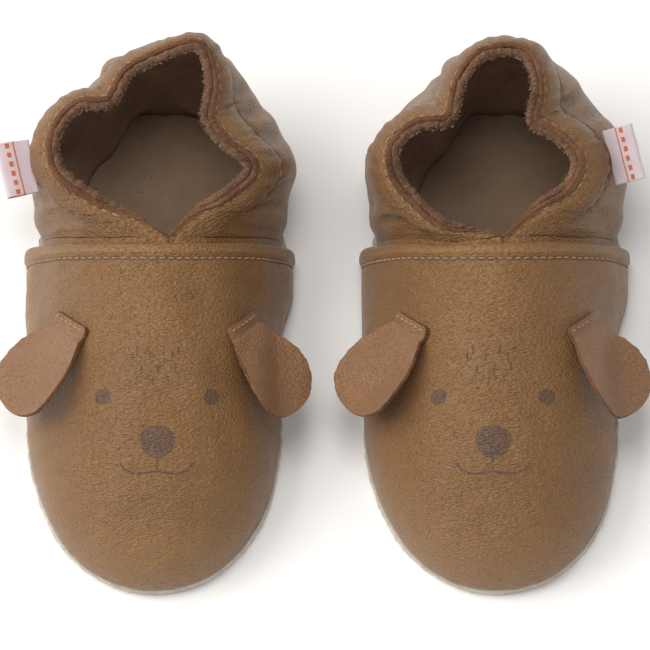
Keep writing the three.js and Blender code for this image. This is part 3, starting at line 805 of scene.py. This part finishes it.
def stitch_row(builder, name, points, normals, pitch, length, node, seed, radius=THREAD_RADIUS, margin=0.6):
    """Single stitches along a path, each an arched thread whose ends dive into the leather."""
    dice = random.Random(seed)
    lengths = path_lengths(points)
    total = lengths[-1] - 2 * margin
    count = max(1, round(total / pitch))
    rings, sides = 9, 8
    out_points, faces, marks = [], [], []
    for number in range(count):
        start = margin + total * (number + 0.5) / count - length / 2 + dice.uniform(-0.08, 0.08)
        shares = np.linspace(0, 1, rings)
        places = start + shares * length
        centres = read_at(places, lengths, points)
        ups = unit(read_at(places, lengths, normals))
        along = unit(np.gradient(centres, axis=0))
        across = unit(np.cross(along, ups))
        slant = dice.uniform(-0.12, 0.12)
        arch = np.sin(shares * math.pi) ** 0.55
        centres = centres + ups * (arch * 1.9 * radius - 1.5 * radius)[:, None]
        centres = centres + across * (slant * (shares - 0.5))[:, None]
        sizes = radius * (0.55 + 0.45 * np.sin(shares * math.pi) ** 0.4) * dice.uniform(0.92, 1.08)
        base = len(out_points)
        for i in range(rings):
            for k in range(sides):
                angle = 2 * math.pi * k / sides
                spoke = ups[i] * math.cos(angle) + across[i] * math.sin(angle) * 1.15
                out_points.append(centres[i] + sizes[i] * spoke)
                marks.append((shares[i] * length * 10, k / sides * 10, 0))
        for i in range(rings - 1):
            for k in range(sides):
                a, b = base + i * sides + k, base + i * sides + (k + 1) % sides
                faces.append((a, b, b + sides, a + sides))
        faces.append(tuple(base + k for k in range(sides))[::-1])
        faces.append(tuple(base + (rings - 1) * sides + k for k in range(sides)))
    builder.piece(name, out_points, faces, ["thread"], "thread", [node], {"surface": marks})


def fibres(builder, name, roots, directions, lengths, radius, look, seed, slot):
    """Short tapering curved hairs."""
    dice = np.random.default_rng(seed)
    points, faces = [], []
    for root, direction, length in zip(roots, directions, lengths):
        sideways = unit(np.cross(direction, dice.normal(size=3)))
        other = np.cross(direction, sideways)
        bend = dice.uniform(-0.5, 0.5) * length
        base = len(points)
        for share, size in ((0, 1.0), (0.55, 0.7)):
            centre = root + direction * length * share + sideways * bend * share ** 2
            for k in range(3):
                angle = 2 * math.pi * k / 3
                points.append(centre + radius * size * (sideways * math.cos(angle) + other * math.sin(angle)))
        points.append(root + direction * length + sideways * bend)
        for k in range(3):
            a, b = base + k, base + (k + 1) % 3
            faces.append((a, b, b + 3, a + 3))
            faces.append((a + 3, b + 3, base + 6))
        faces.append((base + 2, base + 1, base))
    builder.piece(name, points, faces, [look], slot, [])


# ---- ankle: quarter, lining, elastic and their stitches ----

class Ankle:
    """Fine grid round the ankle, with the gathers that the elastic makes."""

    def __init__(self, shape, side, columns=420):
        self.side = side
        self.shape = shape
        self.stations = np.linspace(-LAP_STATION, LAP_STATION, columns)
        lengths = np.array([shape.length(station) for station in self.stations])
        self.depths = np.array([self.spaced(length) for length in lengths])
        heights = np.minimum(1, self.depths / lengths[:, None])
        past = np.abs(self.stations) > 1
        heights[past] = np.maximum(heights[past], (QUARTER_FRONT_GAP / lengths[past])[:, None])
        self.points, self.normals = shape.ankle(self.stations, heights)
        self.rim = path_lengths(self.points[:, 0])
        self.gathers = self.gather()

    @staticmethod
    def spaced(length):
        """Depths from the rim to the sole, closer together near the rim."""
        near = np.linspace(0, 14, 34)
        if length > 16:
            return np.concatenate([near, np.linspace(14, length, 38)[1:]])
        return np.linspace(0, length, 71)

    def gather(self):
        """Folds that the elastic draws into the leather, in millimetres outwards."""
        along = self.rim[:, None]
        deep = self.depths
        sway = 0.9 * np.sin(deep / 5.5 + along / 13)
        dice = np.random.default_rng(SEEDS[self.side]["gathers"])

        def waves(reach, *pitches):
            total = 0
            for pitch, weight in pitches:
                swayed = along + reach * sway * dice.uniform(0.4, 1)
                total = total + weight * np.sin(2 * np.pi * swayed / pitch + dice.uniform(0, 6.3))
            return total

        fine = waves(1, (2.3, 0.5), (3.1, 0.6), (4.3, 0.7))
        broad = waves(2, (6.5, 0.6), (9.4, 0.8), (15, 0.7))
        turn = np.gradient(unit(np.gradient(self.points[:, 0], axis=0)), axis=0)
        bend = np.linalg.norm(turn, axis=-1) / np.maximum(np.gradient(self.rim), 1e-6)
        bend = np.convolve(bend, np.ones(25) / 25, mode="same")
        tight = (0.55 + 4 * np.clip(bend, 0, 0.25))[:, None]
        casing = bump(deep, 7, 3.2) + 0.55 * bump(deep, 14, 2.2)
        skirt = smooth(deep, 10, 16) * (1 - smooth(deep, 20, 40))
        flat = 1 - smooth(np.abs(self.stations), 0.9, 0.99)
        label = OUTER_SIDE[self.side] * LABEL_STATION
        flat = flat * (1 - 0.85 * bump(self.stations, label, 0.13))
        return (0.17 * fine * casing * tight + 0.42 * broad * skirt * tight) * flat[:, None]

    def puff(self):
        """How far the casing stands out between its two stitch rows."""
        share = np.clip((self.depths - RIM_STITCH_DEPTH) / (CASING_STITCH_DEPTH - RIM_STITCH_DEPTH), 0, 1)
        open_part = 1 - smooth(np.abs(self.stations), ELASTIC_END + 0.02, 0.97)
        rise = 1.2 * np.sin(share * math.pi) ** 0.7
        pinch = 0.25 * bump(self.depths, RIM_STITCH_DEPTH, 0.5)
        pinch = pinch + 0.4 * bump(self.depths, CASING_STITCH_DEPTH, 0.8)
        return (rise - pinch) * open_part[:, None] + self.lines()

    def lines(self):
        """Fine creases that run along the casing near the front of the mouth."""
        front = smooth(np.abs(self.stations), 0.45, 0.75) * (1 - smooth(np.abs(self.stations), 0.93, 0.99))
        drift = 1.2 * np.sin(self.rim / 6)[:, None] + 0.4 * np.sin(self.rim / 2.1)[:, None]
        wave = np.sin((self.depths + drift) * 2 * np.pi / 1.7) * bump(self.depths, 7.5, 3)
        return 0.12 * wave * front[:, None]

    def build_quarter(self, builder):
        skirt = bump(np.abs(self.stations), 0.86, 0.09)[:, None] * bump(self.points[..., 2], 16, 11)
        lift = self.gathers + self.puff() + 0.12 * soft_noise(self.points, 9, 3) + QUARTER_SWELL * skirt
        lift = lift * smooth(self.depths[:, -1:] - self.depths, 0, 3)
        frayed = 0.16 * soft_noise(self.points, 1.0, 5) * bump(self.depths, 0, 0.8)
        edge_swell = bump(self.depths, 0, 1.1)
        low = QUARTER_LOW - 0.1 * edge_swell
        high = QUARTER_HIGH + frayed + 0.4 * edge_swell
        rings, cap = sheet_rings(self.points, self.normals, low, high, lift)
        rows = self.depths.shape[1]
        ring = rings.shape[1]
        faces = ring_faces(len(self.stations), ring)
        edge = {(rows - 2) + k for k in range(cap + 2)}
        spots = [face[0] % ring for face in faces]
        sides = [1 if spot in edge else 2 if spot >= rows + cap - 1 else 0 for spot in spots]
        # Painted light in the fold mark: shade in the hollows of the gathers and in the groove under the
        # casing stitch row, highlight on the gathers' ridges.
        seam = 0.6 * bump(self.depths, CASING_STITCH_DEPTH + 0.6, 0.9)
        fold = ring_values(self.gathers * 1.5 - seam, cap)
        front = 0.4 + 0.6 * smooth(np.abs(self.stations), 0.3, 0.7)
        along = np.repeat(self.rim[:, None], rows, axis=1)
        places = np.stack([along, self.depths, np.repeat(front[:, None], rows, axis=1)], axis=-1)
        marks = {"fold": fold.ravel(), "surface": ring_values(places, cap).reshape(-1, 3)}
        looks = ["leather", "raw_edge", "lining"]
        builder.piece("quarter", above_seat(rings), faces, looks, "leather", ["quarter"], marks, sides)

    def build_lining(self, builder):
        near_rim = bump(self.depths, 0.2, 1.5)
        fuzz = 0.3 * soft_noise(self.points, 0.9, 8) * bump(self.depths, 0, 1.2)
        lift = self.gathers + 0.1 * soft_noise(self.points, 5, 9)
        lift = lift * smooth(self.depths[:, -1:] - self.depths, 0, 3)
        inner = 1 - smooth(np.abs(self.stations), 1, 1.04)[:, None]
        low = -0.9 * near_rim * inner + fuzz * inner
        high = np.full_like(low, LINING_THICKNESS) + 0.12 * near_rim
        points = self.points.copy()
        proud = (0.5 + 0.25 * soft_noise(self.points[:, 0], 2.2, 12)) * inner[:, 0]
        points[..., 2] += proud[:, None] * bump(self.depths, 0, 0.9)
        rings, cap = sheet_rings(points, self.normals, low, high, lift, self.heel_padding())
        ring = rings.shape[1]
        rows = self.depths.shape[1]
        faces = ring_faces(len(self.stations), ring)
        edge = {(rows - 5) + k for k in range(cap + 8)}
        sides = [1 if face[0] % ring in edge else 0 for face in faces]
        builder.piece("quarter_lining", above_seat(rings), faces, ["lining", "rim"], "inner_suede",
                      ["quarter_lining"], None, sides)

    def heel_padding(self):
        """How far the inside of the lining comes in over the insole's edge beside the heel."""
        away = np.abs(self.stations)
        most = mix(*HEEL_PADDING, smooth(self.stations, -0.1, 0.2))
        reach = most * smooth(away, 0, 0.3) * (1 - smooth(away, 0.6, 0.98))
        above = SEAT + FOAM_THICKNESS + INSOLE_THICKNESS + 2 * CLEARANCE
        height = self.points[..., 2]
        share = (1 - smooth(height, above + 2, above + 24)) * (height > above)
        return -outwards(self.stations)[:, None] * (reach[:, None] * share)[..., None]

    def build_elastic(self, builder):
        keep = np.abs(self.stations) < ELASTIC_END - 0.03
        depths = np.linspace(CASING_TOP + CLEARANCE, CASING_BOTTOM - CLEARANCE, 9)
        stations = self.stations[keep]
        lengths = np.array([self.shape.length(station) for station in stations])
        points, normals = self.shape.ankle(stations, depths[None] / lengths[:, None])
        folds = zip(self.depths[keep], self.gathers[keep])
        lift = np.stack([np.interp(depths, row, gathers) for row, gathers in folds])
        low = np.full(lift.shape, QUARTER_LOW)
        rings, cap = sheet_rings(points, normals, low, low + ELASTIC_THICKNESS, lift)
        rim = np.repeat(self.rim[keep][:, None], len(depths), axis=1)
        places = np.stack([rim, np.repeat(depths[None], len(rim), axis=0), 0 * rim], axis=-1)
        marks = {"surface": ring_values(places, cap).reshape(-1, 3)}
        faces = ring_faces(len(stations), rings.shape[1])
        builder.piece("ankle_elastic", rings, faces, ["elastic"], "elastic", ["ankle_elastic"], marks)

    def build_stitches(self, builder, name, depth, pitch, length, seed):
        keep = np.abs(self.stations) < STITCH_END
        lift = self.gathers + self.puff()
        points = []
        normals = []
        columns = zip(self.depths[keep], self.points[keep], self.normals[keep], lift[keep])
        for row, place, normal, rise in columns:
            up = unit(read_at(depth, row, normal))
            above = QUARTER_HIGH + np.interp(depth, row, rise) + 0.1
            points.append(read_at(depth, row, place) + up * above)
            normals.append(up)
        stitch_row(builder, name, np.array(points), np.array(normals), pitch, length, name, seed, radius=0.24)

    def build_fibres(self, builder, count=2300):
        """Pale fibres that stand out of the lining's cut edge."""
        dice = np.random.default_rng(SEEDS[self.side]["fibres"])
        inside = np.flatnonzero(np.abs(self.stations) < 0.99)
        chosen = dice.choice(inside, count)
        up = unit(self.points[chosen, 0] - self.points[chosen, 1])
        spread = dice.normal(size=(count, 3)) * 0.75
        inwards = -self.normals[chosen, 0]
        directions = unit(0.8 * up + 0.5 * inwards + spread)
        roots = self.points[chosen, 0] + inwards * dice.uniform(-0.4, 1.1, count)[:, None] + up * 0.3
        lengths = 0.3 + 0.8 * dice.uniform(0, 1, count) ** 2
        fibres(builder, "rim_fibres", roots, directions, lengths, 0.055, "fibre", 5, "inner_suede")


# ---- vamp ----

class Vamp:
    """Fine grid over the toe and instep."""

    def __init__(self, shape, side):
        self.side = side
        near = 5 / (INSTEP_Y - TOE_Y)
        self.across = np.linspace(-1, 1, 161)
        hem = np.linspace(VAMP_END - near, VAMP_END, 26)
        self.angles = np.concatenate([np.linspace(0, VAMP_END - near, 110), hem[1:]])
        self.points, self.normals = shape.instep(self.across, self.angles)
        self.normals[:, 0] = (0, -1, 0)
        back = path_lengths(self.points.transpose(1, 0, 2)).T
        self.from_hem = back[:, -1:] - back
        self.widths = np.array([shape.length(2 - angle / QUARTER_TURN) for angle in self.angles])
        self.from_sole = (1 - np.abs(self.across))[:, None] * self.widths[None]
        middle = self.points[len(self.across) // 2]
        crest_length = path_lengths(middle)
        ahead = crest_length[-1] - crest_length
        sideways = self.across[:, None] * self.widths[None]
        ahead = np.broadcast_to(ahead, sideways.shape)
        self.places = np.stack([sideways - FACE_SHIFT[side], ahead, 0 * sideways], axis=-1)

    def lift(self):
        """Soft dents, gathers along the sole seam and the folded back edge, outwards."""
        seed = SEEDS[self.side]["vamp"]
        dents = 0.22 * soft_noise(self.points, 17, seed) + 0.08 * soft_noise(self.points, 6, seed + 1)
        dents = dents * smooth(self.from_sole, 0, 6) * smooth(self.from_hem, 0, 5)
        edge = path_lengths(self.points[[0, -1]].transpose(1, 0, 2))
        along = np.where(self.across[:, None] < 0, edge[:, 0][None], -edge[:, 1][None])
        toe = 1 - smooth(self.points[..., 1], BALL_Y, INSTEP_Y)
        pleat = np.sin(along * 2 * np.pi / 3.1) + 0.6 * np.sin(along * 2 * np.pi / 4.7 + 1)
        rise = self.points[..., 2] - SEAT
        gathers = 0.09 * pleat * np.exp(-rise / 3) * smooth(rise, 0, 1) * (0.3 + 0.7 * toe)
        tuck = -0.7 * (1 - smooth(rise, 0, 2.4))
        hem = 0.45 * smooth(2.2 - self.from_hem, 0, 0.9)
        groove = -0.3 * bump(self.from_hem, HEM_DEPTH, 0.55)
        round_toe = smooth(-self.points[..., 1], -BALL_Y - 4, -BALL_Y + 12)
        rightward = smooth(self.points[..., 0], -5, 20)
        tip = smooth(-self.points[..., 1], MIDDLE - 20, MIDDLE - 8)
        belly = mix(mix(1.7, 0.9, rightward), mix(1.2, 2.1, tip), round_toe)
        belly = belly * smooth(rise, 0.2, 2) * (1 - smooth(rise, 9, 22))
        return dents + gathers + tuck + belly + (hem + groove) * smooth(self.from_sole, 1, 4)

    def build_leather(self, builder):
        lift = self.lift()
        backwards = slice(None, None, -1)
        points, normals = self.points[:, backwards], self.normals[:, backwards]
        high = np.full(lift.shape, VAMP_HIGH) + lift[:, backwards]
        low = np.full(lift.shape, VAMP_LOW)
        rings, cap = sheet_rings(points, normals, low, high, 0 * low)
        rings = above_seat(rings)
        places = ring_values(self.places[:, backwards], cap)
        # Painted light in the fold mark: a highlight along the rolled back edge and on raised places, shade
        # in the hem's stitch groove, in dips and within 3 mm of the sole.
        fold = 0.9 * bump(self.from_hem, 1.2, 0.8) - 0.9 * bump(self.from_hem, HEM_DEPTH, 0.5)
        fold = fold - 0.8 * (1 - smooth(self.from_sole, 0, 3)) + 0.5 * lift
        fold = ring_values(fold[:, backwards], cap)
        ring = rings.shape[1]
        faces = ring_faces(len(self.across), ring)
        rows = len(self.angles)
        sides = [1 if face[0] % ring >= rows + cap else 0 for face in faces]
        self.surface = BVHTree.FromPolygons(rings.reshape(-1, 3).tolist(), faces)
        self.hem = self.points, self.normals, lift
        marks = {"surface": places.reshape(-1, 3), "fold": fold.ravel()}
        builder.piece("vamp", rings, faces, ["vamp", "lining"], "leather", ["vamp"], marks, sides)

    def build_lining(self, builder):
        backwards = slice(None, None, -1)
        points, normals = self.points[::2, backwards], self.normals[::2, backwards]
        low = np.full(points.shape[:2], VAMP_LINING_LOW)
        lift = 0.06 * soft_noise(points, 6, 51)
        rings, _ = sheet_rings(points, normals, low, low + VAMP_LINING_THICKNESS, lift)
        faces = ring_faces(len(points), rings.shape[1])
        builder.piece("vamp_lining", above_seat(rings), faces, ["lining"], "inner_suede", ["vamp_lining"])

    def build_stitches(self, builder):
        points, normals, lift = self.hem
        row = []
        ups = []
        for i in range(3, len(self.across) - 3):
            order = self.from_hem[i, ::-1]
            up = unit(read_at(HEM_DEPTH, order, normals[i, ::-1]))
            rise = np.interp(HEM_DEPTH, order, lift[i, ::-1])
            row.append(read_at(HEM_DEPTH, order, points[i, ::-1]) + up * (VAMP_HIGH + rise + 0.18))
            ups.append(up)
        stitch_row(builder, "vamp_thread", np.array(row), np.array(ups), 2.3, 1.75, "vamp_thread", 61,
                   radius=0.22, margin=4)


# ---- ears ----

def bezier(points, count):
    return FootShape.curve(np.array(points, float), np.linspace(0, 1, count))


def hinge(builder, name):
    """The body, centre, axis and outward direction of a piece that folds, in the bootie's millimetres."""
    joint = next(j for j in frame["joints"] if j["name"] == f"{name}_fold")
    centre = builder.from_frame(joint["pos_m"])
    axis = unit(np.array(joint["axis"], float))
    corners = np.array([v.co for v in frame["nodes"][name].data.vertices])
    out = builder.from_frame(corners.mean(axis=0)) - centre
    return joint["child"], centre, axis, unit(out - axis * (out @ axis))


class Ear:
    """One piece of leather, sewn down along its tab and folded forward at its crease."""

    def __init__(self, builder, place, surface):
        self.builder = builder
        self.place = place
        self.surface = surface
        self.body, self.centre, axis, self.out = hinge(builder, f"{builder.side}_{place}_ear")
        self.crease = -axis
        self.through = np.cross(self.out, self.crease)
        self.flat = self.out * math.cos(EAR_LIFT) - self.through * math.sin(EAR_LIFT)
        self.up = np.cross(self.flat, self.crease)
        self.outward = OUTER_SIDE[builder.side] * (1 if place == "outer" else -1)

    def edges(self, ahead):
        """Left and right edge of the flap at a distance ahead of the crease."""
        half = EAR_CREASE_LENGTH / 2
        outer = half + EAR_OUTER_BELLY * 4 / 3
        inner = half + EAR_INNER_BELLY * 4 / 3
        long = EAR_LENGTH
        one = bezier([(half, 0), (outer, 0.38 * long), (outer, 0.95 * long), (EAR_TIP_SHIFT, long)], 80)
        two = bezier([(-half, 0), (-inner, 0.6 * long), (-inner, long), (EAR_TIP_SHIFT, long)], 80)
        return np.interp(ahead, two[:, 1], two[:, 0]), np.interp(ahead, one[:, 1], one[:, 0])

    def on_tab(self, along, back, height):
        """A place above the vamp, behind the crease."""
        place = self.centre + self.crease * along - self.flat * back
        hit = self.surface.ray_cast(Vector(place + self.up * 8), Vector(-self.up))[0]
        return np.array(place if hit is None else hit) + self.up * height

    def on_flap(self, along, ahead, height):
        share = ahead / EAR_LENGTH
        ripple = 0.5 * math.sin(along / 3.1 + ahead / 4)
        cup = 1.5 * (along / 12) ** 2 * smooth(ahead, 0, 10) - 1.2 * share ** 2 + ripple
        level = height - EAR_THICKNESS / 2 + cup * smooth(ahead, 0.5, 7)
        return self.centre + self.crease * along + self.out * ahead + self.through * level

    def position(self, along, ahead, height):
        along = along * self.outward
        if ahead >= EAR_TURN:
            return self.on_flap(along, ahead, height)
        tab = self.on_tab(along, max(0, -ahead), height + TAB_GAP)
        if ahead < 0:
            return tab
        share = float(smooth(ahead, -0.2, EAR_TURN))
        return mix(tab + self.flat * ahead, self.on_flap(along, ahead, height), share)

    def build(self):
        turned = 1.6
        rounding = np.sin(np.linspace(0, math.pi / 2, 40))
        rows = np.concatenate([
            np.linspace(-EAR_TAB_END, 0, 14)[:-1],
            np.linspace(0, turned, 6)[:-1],
            turned + (EAR_LENGTH - turned) * rounding,
        ])
        shares = np.linspace(0, 1, 41)
        points = []
        places = []
        for ahead in rows:
            low, high = self.edges(max(0, ahead))
            if ahead < 0:
                rounded = 0.35 * smooth(-ahead, EAR_TAB_END - 1, EAR_TAB_END)
                low, high = low + rounded, high - rounded
            wobble = 0.12 * math.sin(ahead * 1.7) + 0.08 * math.sin(ahead * 4.1)
            high, low = high + wobble, low + wobble * 0.6
            bevel = min(0.18, (high - low) * 0.2)
            top = [(x, EAR_THICKNESS) for x in mix(low + bevel, high - bevel, shares)]
            edge = [(high, EAR_THICKNESS - 0.15), (high + 0.05, EAR_THICKNESS / 2), (high, 0.15)]
            under = [(x, 0) for x in mix(high - bevel, low + bevel, shares)]
            other = [(low, 0.15), (low - 0.05, EAR_THICKNESS / 2), (low, EAR_THICKNESS - 0.15)]
            for along, height in top + edge + under + other:
                points.append(self.position(along, ahead, height))
                places.append(abs(along) / 12)
        ring = 2 * len(shares) + 6
        faces = ring_faces(len(rows), ring)
        count = len(shares)
        sides = []
        for number, face in enumerate(faces):
            spot = face[0] % ring
            top = spot < count - 1 and number < (len(rows) - 1) * ring
            under = count + 2 < spot < 2 * count + 2 and number < (len(rows) - 1) * ring
            sides.append(0 if top else 2 if under else 1)
        name = f"{self.place}_ear"
        nodes = [name, f"{name}_tab"]
        # The fold mark grows towards the flap's side edges, which the cup raises: a faint painted highlight
        # there.
        piece = self.builder.piece(name, points, faces, ["ear", "raw_edge", "lining"], "ear_leather", nodes,
                                   {"fold": 0.25 * np.array(places)}, sides, body=None)
        bend = [self.builder.to_frame(self.centre + self.out * reach)[0] for reach in (-0.6, 0.6)]
        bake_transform(piece)

    def build_stitches(self):
        half = EAR_CREASE_LENGTH / 2 - 0.3
        level = EAR_THICKNESS + TAB_GAP + 0.14
        row = [self.on_tab(along, EAR_STITCH_ROW, level) for along in np.linspace(-half, half, 30)]
        ups = [self.up] * len(row)
        name = f"{self.place}_ear_thread"
        stitch_row(self.builder, name, np.array(row), np.array(ups), 1.95, 1.35, name, 71,
                   radius=0.24, margin=0.2)


# ---- side label ----

def build_label(builder):
    """A satin ribbon folded into a flat loop, sewn in by its two ends."""
    body, root, seam, out = hinge(builder, f"{builder.side}_side_label")
    through = np.cross(seam, out)
    turn = np.linspace(-math.pi / 2, math.pi / 2, 11)
    bend = LABEL_REACH - LABEL_LOOP + np.cos(turn) * LABEL_LOOP
    swell = smooth(np.linspace(-0.2, 1, 16), 0, 0.8)
    run = np.linspace(-LABEL_ROOT, LABEL_REACH - LABEL_LOOP, 16)
    reach = np.concatenate([run, bend[1:-1], run[::-1]])
    height = mix(0.3, LABEL_LOOP, swell)
    height = np.concatenate([-height, np.sin(turn[1:-1]) * LABEL_LOOP, height[::-1]])
    path = np.stack([reach, height], axis=1)
    along = unit(np.gradient(path, axis=0))
    outward = np.stack([along[:, 1], -along[:, 0]], axis=1)
    columns = np.linspace(-LABEL_WIDTH / 2, LABEL_WIDTH / 2, 41)
    points = []
    marks = []
    path_inside = (path - outward * LABEL_RIBBON)[::-1]
    for column in columns:
        wave = 0.14 * math.sin(column * 0.9)
        for inside, side in ((0, path), (1, path_inside)):
            for reach_here, level in side:
                sway = wave * reach_here / LABEL_REACH
                points.append(root + out * reach_here + through * (level + sway) + seam * column)
                marks.append((reach_here, column, inside))
    faces = ring_faces(len(columns), 2 * len(path))
    marks = {"surface": marks}
    builder.piece("side_label", points, faces, ["ribbon"], "ribbon", ["side_label"], marks, body=body)


# ---- sole ----

def sole_stations(count):
    back = np.linspace(1, -1, count)
    left = np.linspace(-1, -2, count // 2)[1:]
    right = np.linspace(2, 1, count // 2)[1:-1]
    return np.concatenate([back, left, right])


def wall_offset(station):
    return mix(FRONT_WALL, BACK_WALL, smooth(1 - abs(station), 0.02, 0.25))


def lip_share(station):
    """How far the sole's turned-up lip shows: fully round the toe and not at the sides and heel."""
    return float(smooth(abs(station), 1.22, 1.4))


def sole_ring(stations, inset, z, foot=False):
    """The sole's edge drawn in by a distance, or the foot's own edge."""
    rows = []
    for station in stations:
        hidden = (1 - lip_share(station)) * LIP_DRAWN_IN
        reach = -inset if foot else wall_offset(station) - inset - hidden
        point = foot_edge(station) + foot_edge_outward(station) * reach
        point[2] = z if foot else min(z, mix(SOLE_THICKNESS + 0.1, z, lip_share(station)))
        rows.append(point)
    return np.array(rows)


def filled_rings(rings):
    """Points and faces of stacked rings whose first and last are closed by shrinking towards the middle."""
    size = len(rings[0])

    shares = (0.02, 0.3, 0.6, 0.85)

    def fill(ring):
        middle = np.array([0, 0, ring[0][2]])
        return [mix(middle, ring, share) for share in shares]

    stack = [*fill(rings[0]), *rings, *fill(rings[-1])[::-1]]
    points = np.concatenate(stack)
    faces = []
    for level in range(len(stack) - 1):
        for i in range(size):
            j = (i + 1) % size
            faces.append((level * size + i, level * size + j, (level + 1) * size + j, (level + 1) * size + i))
    faces.append(tuple(range(size))[::-1])
    faces.append(tuple((len(stack) - 1) * size + i for i in range(size)))
    return points, faces


def build_outsole(builder):
    stations = sole_stations(220)
    top = SOLE_THICKNESS + LIP_HEIGHT
    # Inset and height of each ring, from the middle of the underside round the lip to the inside.
    levels = [
        (1.2, 0), (0.35, 0.15), (0.05, 0.6), (0, 1.2), (0, 1.9), (0.02, top - 0.35), (0.15, top - 0.08),
        (0.4, top + 0.05), (1, top), (LIP_WIDTH + 0.9, top - 0.2), (LIP_WIDTH + 1, SOLE_THICKNESS + 0.2),
        (LIP_WIDTH + 1.2, SOLE_THICKNESS),
    ]
    outward = outwards(stations)
    rings = []
    for inset, z in levels:
        ring = sole_ring(stations, inset, z)
        if z > 0.3 and inset < LIP_WIDTH + 0.5:
            ring = ring + outward * (0.16 * soft_noise(ring, 2.1, 81))[:, None]
            ring[:, 2] += 0.12 * soft_noise(ring, 1.7, 83) * (z > top - 0.5)
        rings.append(ring)
    points, faces = filled_rings(rings)
    builder.piece("outsole", points, faces, ["sole"], "sole_suede", ["outsole"])
    dice = np.random.default_rng(91)
    count = 1500
    shown = np.flatnonzero(np.abs(stations) > 1.3)
    chosen = shown[dice.integers(0, len(shown), count)]
    outward = outward[chosen]
    roots = sole_ring(stations, 0.1, 0)[chosen] - outward * dice.uniform(0, 1, count)[:, None]
    roots[:, 2] = top - dice.uniform(0, 1.3, count)
    up = np.array([0, 0, 1.0])
    directions = outward * dice.uniform(0.1, 1.1, count)[:, None] + up * dice.uniform(0.2, 1, count)[:, None]
    directions = unit(directions + dice.normal(size=(count, 3)) * 0.3)
    lengths = dice.uniform(0.3, 0.9, count)
    fibres(builder, "sole_fibres", roots, directions, lengths, 0.04, "sole", 7, "sole_suede")


def build_pads(builder):
    stations = sole_stations(160)
    inset = 4 * THREAD_RADIUS + 2 * CLEARANCE
    low, high = SEAT, SEAT + FOAM_THICKNESS
    levels = [
        (inset + 0.4, low), (inset, low + 0.4), (inset - 0.1, low + 1),
        (inset, high - 0.4), (inset + 0.4, high),
    ]
    points, faces = filled_rings([sole_ring(stations, gap, z, foot=True) for gap, z in levels])
    builder.piece("foam_pad", points, faces, ["foam"], "foam", ["foam_pad"])
    low = high + CLEARANCE
    high = low + INSOLE_THICKNESS
    rings = []
    for gap, z in [(0.7, low), (0.5, low + 0.3), (0.5, high - 0.25), (0.8, high)]:
        ring = sole_ring(stations, gap, z, foot=True)
        ragged = 0.22 * soft_noise(ring, 2.4, 95) - 0.5 * np.clip(soft_noise(ring, 5, 96), 0, 1)
        rings.append(ring + outwards(stations) * ragged[:, None])
    points, faces = filled_rings(rings)
    builder.piece("insole", points, faces, ["insole"], "insole_fabric", ["insole"])


def build_sole_stitches(builder):
    stations = sole_stations(160)
    row = sole_ring(stations, 2 * THREAD_RADIUS + CLEARANCE, SEAT + THREAD_RADIUS * 0.9, foot=True)
    ups = np.tile([0, 0, 1.0], (len(row), 1))
    stitch_row(builder, "sole_thread", row, ups, 3.2, 2.6, "sole_thread", 97)


# ---- the two booties ----

def build_bootie(side):
    builder = Builder(side)
    shape = FootShape(side)
    build_outsole(builder)
    build_pads(builder)
    build_sole_stitches(builder)
    ankle = Ankle(shape, side)
    ankle.build_quarter(builder)
    ankle.build_lining(builder)
    ankle.build_elastic(builder)
    ankle.build_stitches(builder, "rim_thread", RIM_STITCH_DEPTH, 2.7, 1.9, 101)
    ankle.build_stitches(builder, "casing_thread", CASING_STITCH_DEPTH, 3.5, 2.5, 103)
    ankle.build_fibres(builder)
    vamp = Vamp(shape, side)
    vamp.build_leather(builder)
    vamp.build_lining(builder)
    vamp.build_stitches(builder)
    for place in ("outer", "inner"):
        ear = Ear(builder, place, vamp.surface)
        ear.build()
        ear.build_stitches()
    build_label(builder)


# ---- floor, light and camera ----

def build_stage():
    mesh = bpy.data.meshes.new("floor")
    reach = 4
    drop = -0.0002
    corners = [(-reach, -reach), (reach, -reach), (reach, reach), (-reach, reach)]
    mesh.from_pydata([(*corner, drop) for corner in corners], [], [(0, 1, 2, 3)])
    mesh.materials.append(LOOKS["floor"])
    add_object("floor", mesh)


def aim(thing, target):
    thing.rotation_euler = (Vector(target) - thing.location).to_track_quat("-Z", "Y").to_euler()


def add_light(name, place, size, power, colour):
    data = bpy.data.lights.new(name, "AREA")
    data.size = size
    data.energy = power
    data.color = colour
    light = add_object(name, data)
    light.location = place
    aim(light, (0, 0, 0))


def build_lights():
    world = bpy.data.worlds.new("studio")
    world.use_nodes = True
    background = world.node_tree.nodes["Background"]
    background.inputs["Color"].default_value = (1, 1, 1, 1)
    background.inputs["Strength"].default_value = 0.5
    bpy.context.scene.world = world
    add_light("key", (-0.95, 0.05, 0.95), 1.1, 15, (1, 0.985, 0.96))
    add_light("overhead", (-0.05, 0.05, 1.3), 0.5, 5.5, (1, 0.99, 0.97))
    bpy.context.scene.view_settings.view_transform = "Standard"


def build_camera():
    """A long lens that looks steeply down over the toes."""
    elevation = math.radians(68)
    view_width = 0.1625
    distance = 2.2
    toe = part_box("left_outsole")[0]
    back = np.array([0, -math.cos(elevation), math.sin(elevation)])
    up = np.array([0, math.sin(elevation), math.cos(elevation)])
    across = -0.0006
    above_toe = 0.0675
    height = 0.02
    level = toe[1] * up[1] + above_toe
    target = np.array([across, (level - height * up[2]) / up[1], height])
    data = bpy.data.cameras.new("camera")
    data.lens = data.sensor_width * distance / view_width
    data.clip_end = 20
    camera = add_object("camera", data)
    camera.location = target + back * distance
    aim(camera, target)
    bpy.context.scene.camera = camera


build_camera()
build_lights()
build_stage()
for side in ("left", "right"):
    build_bootie(side)
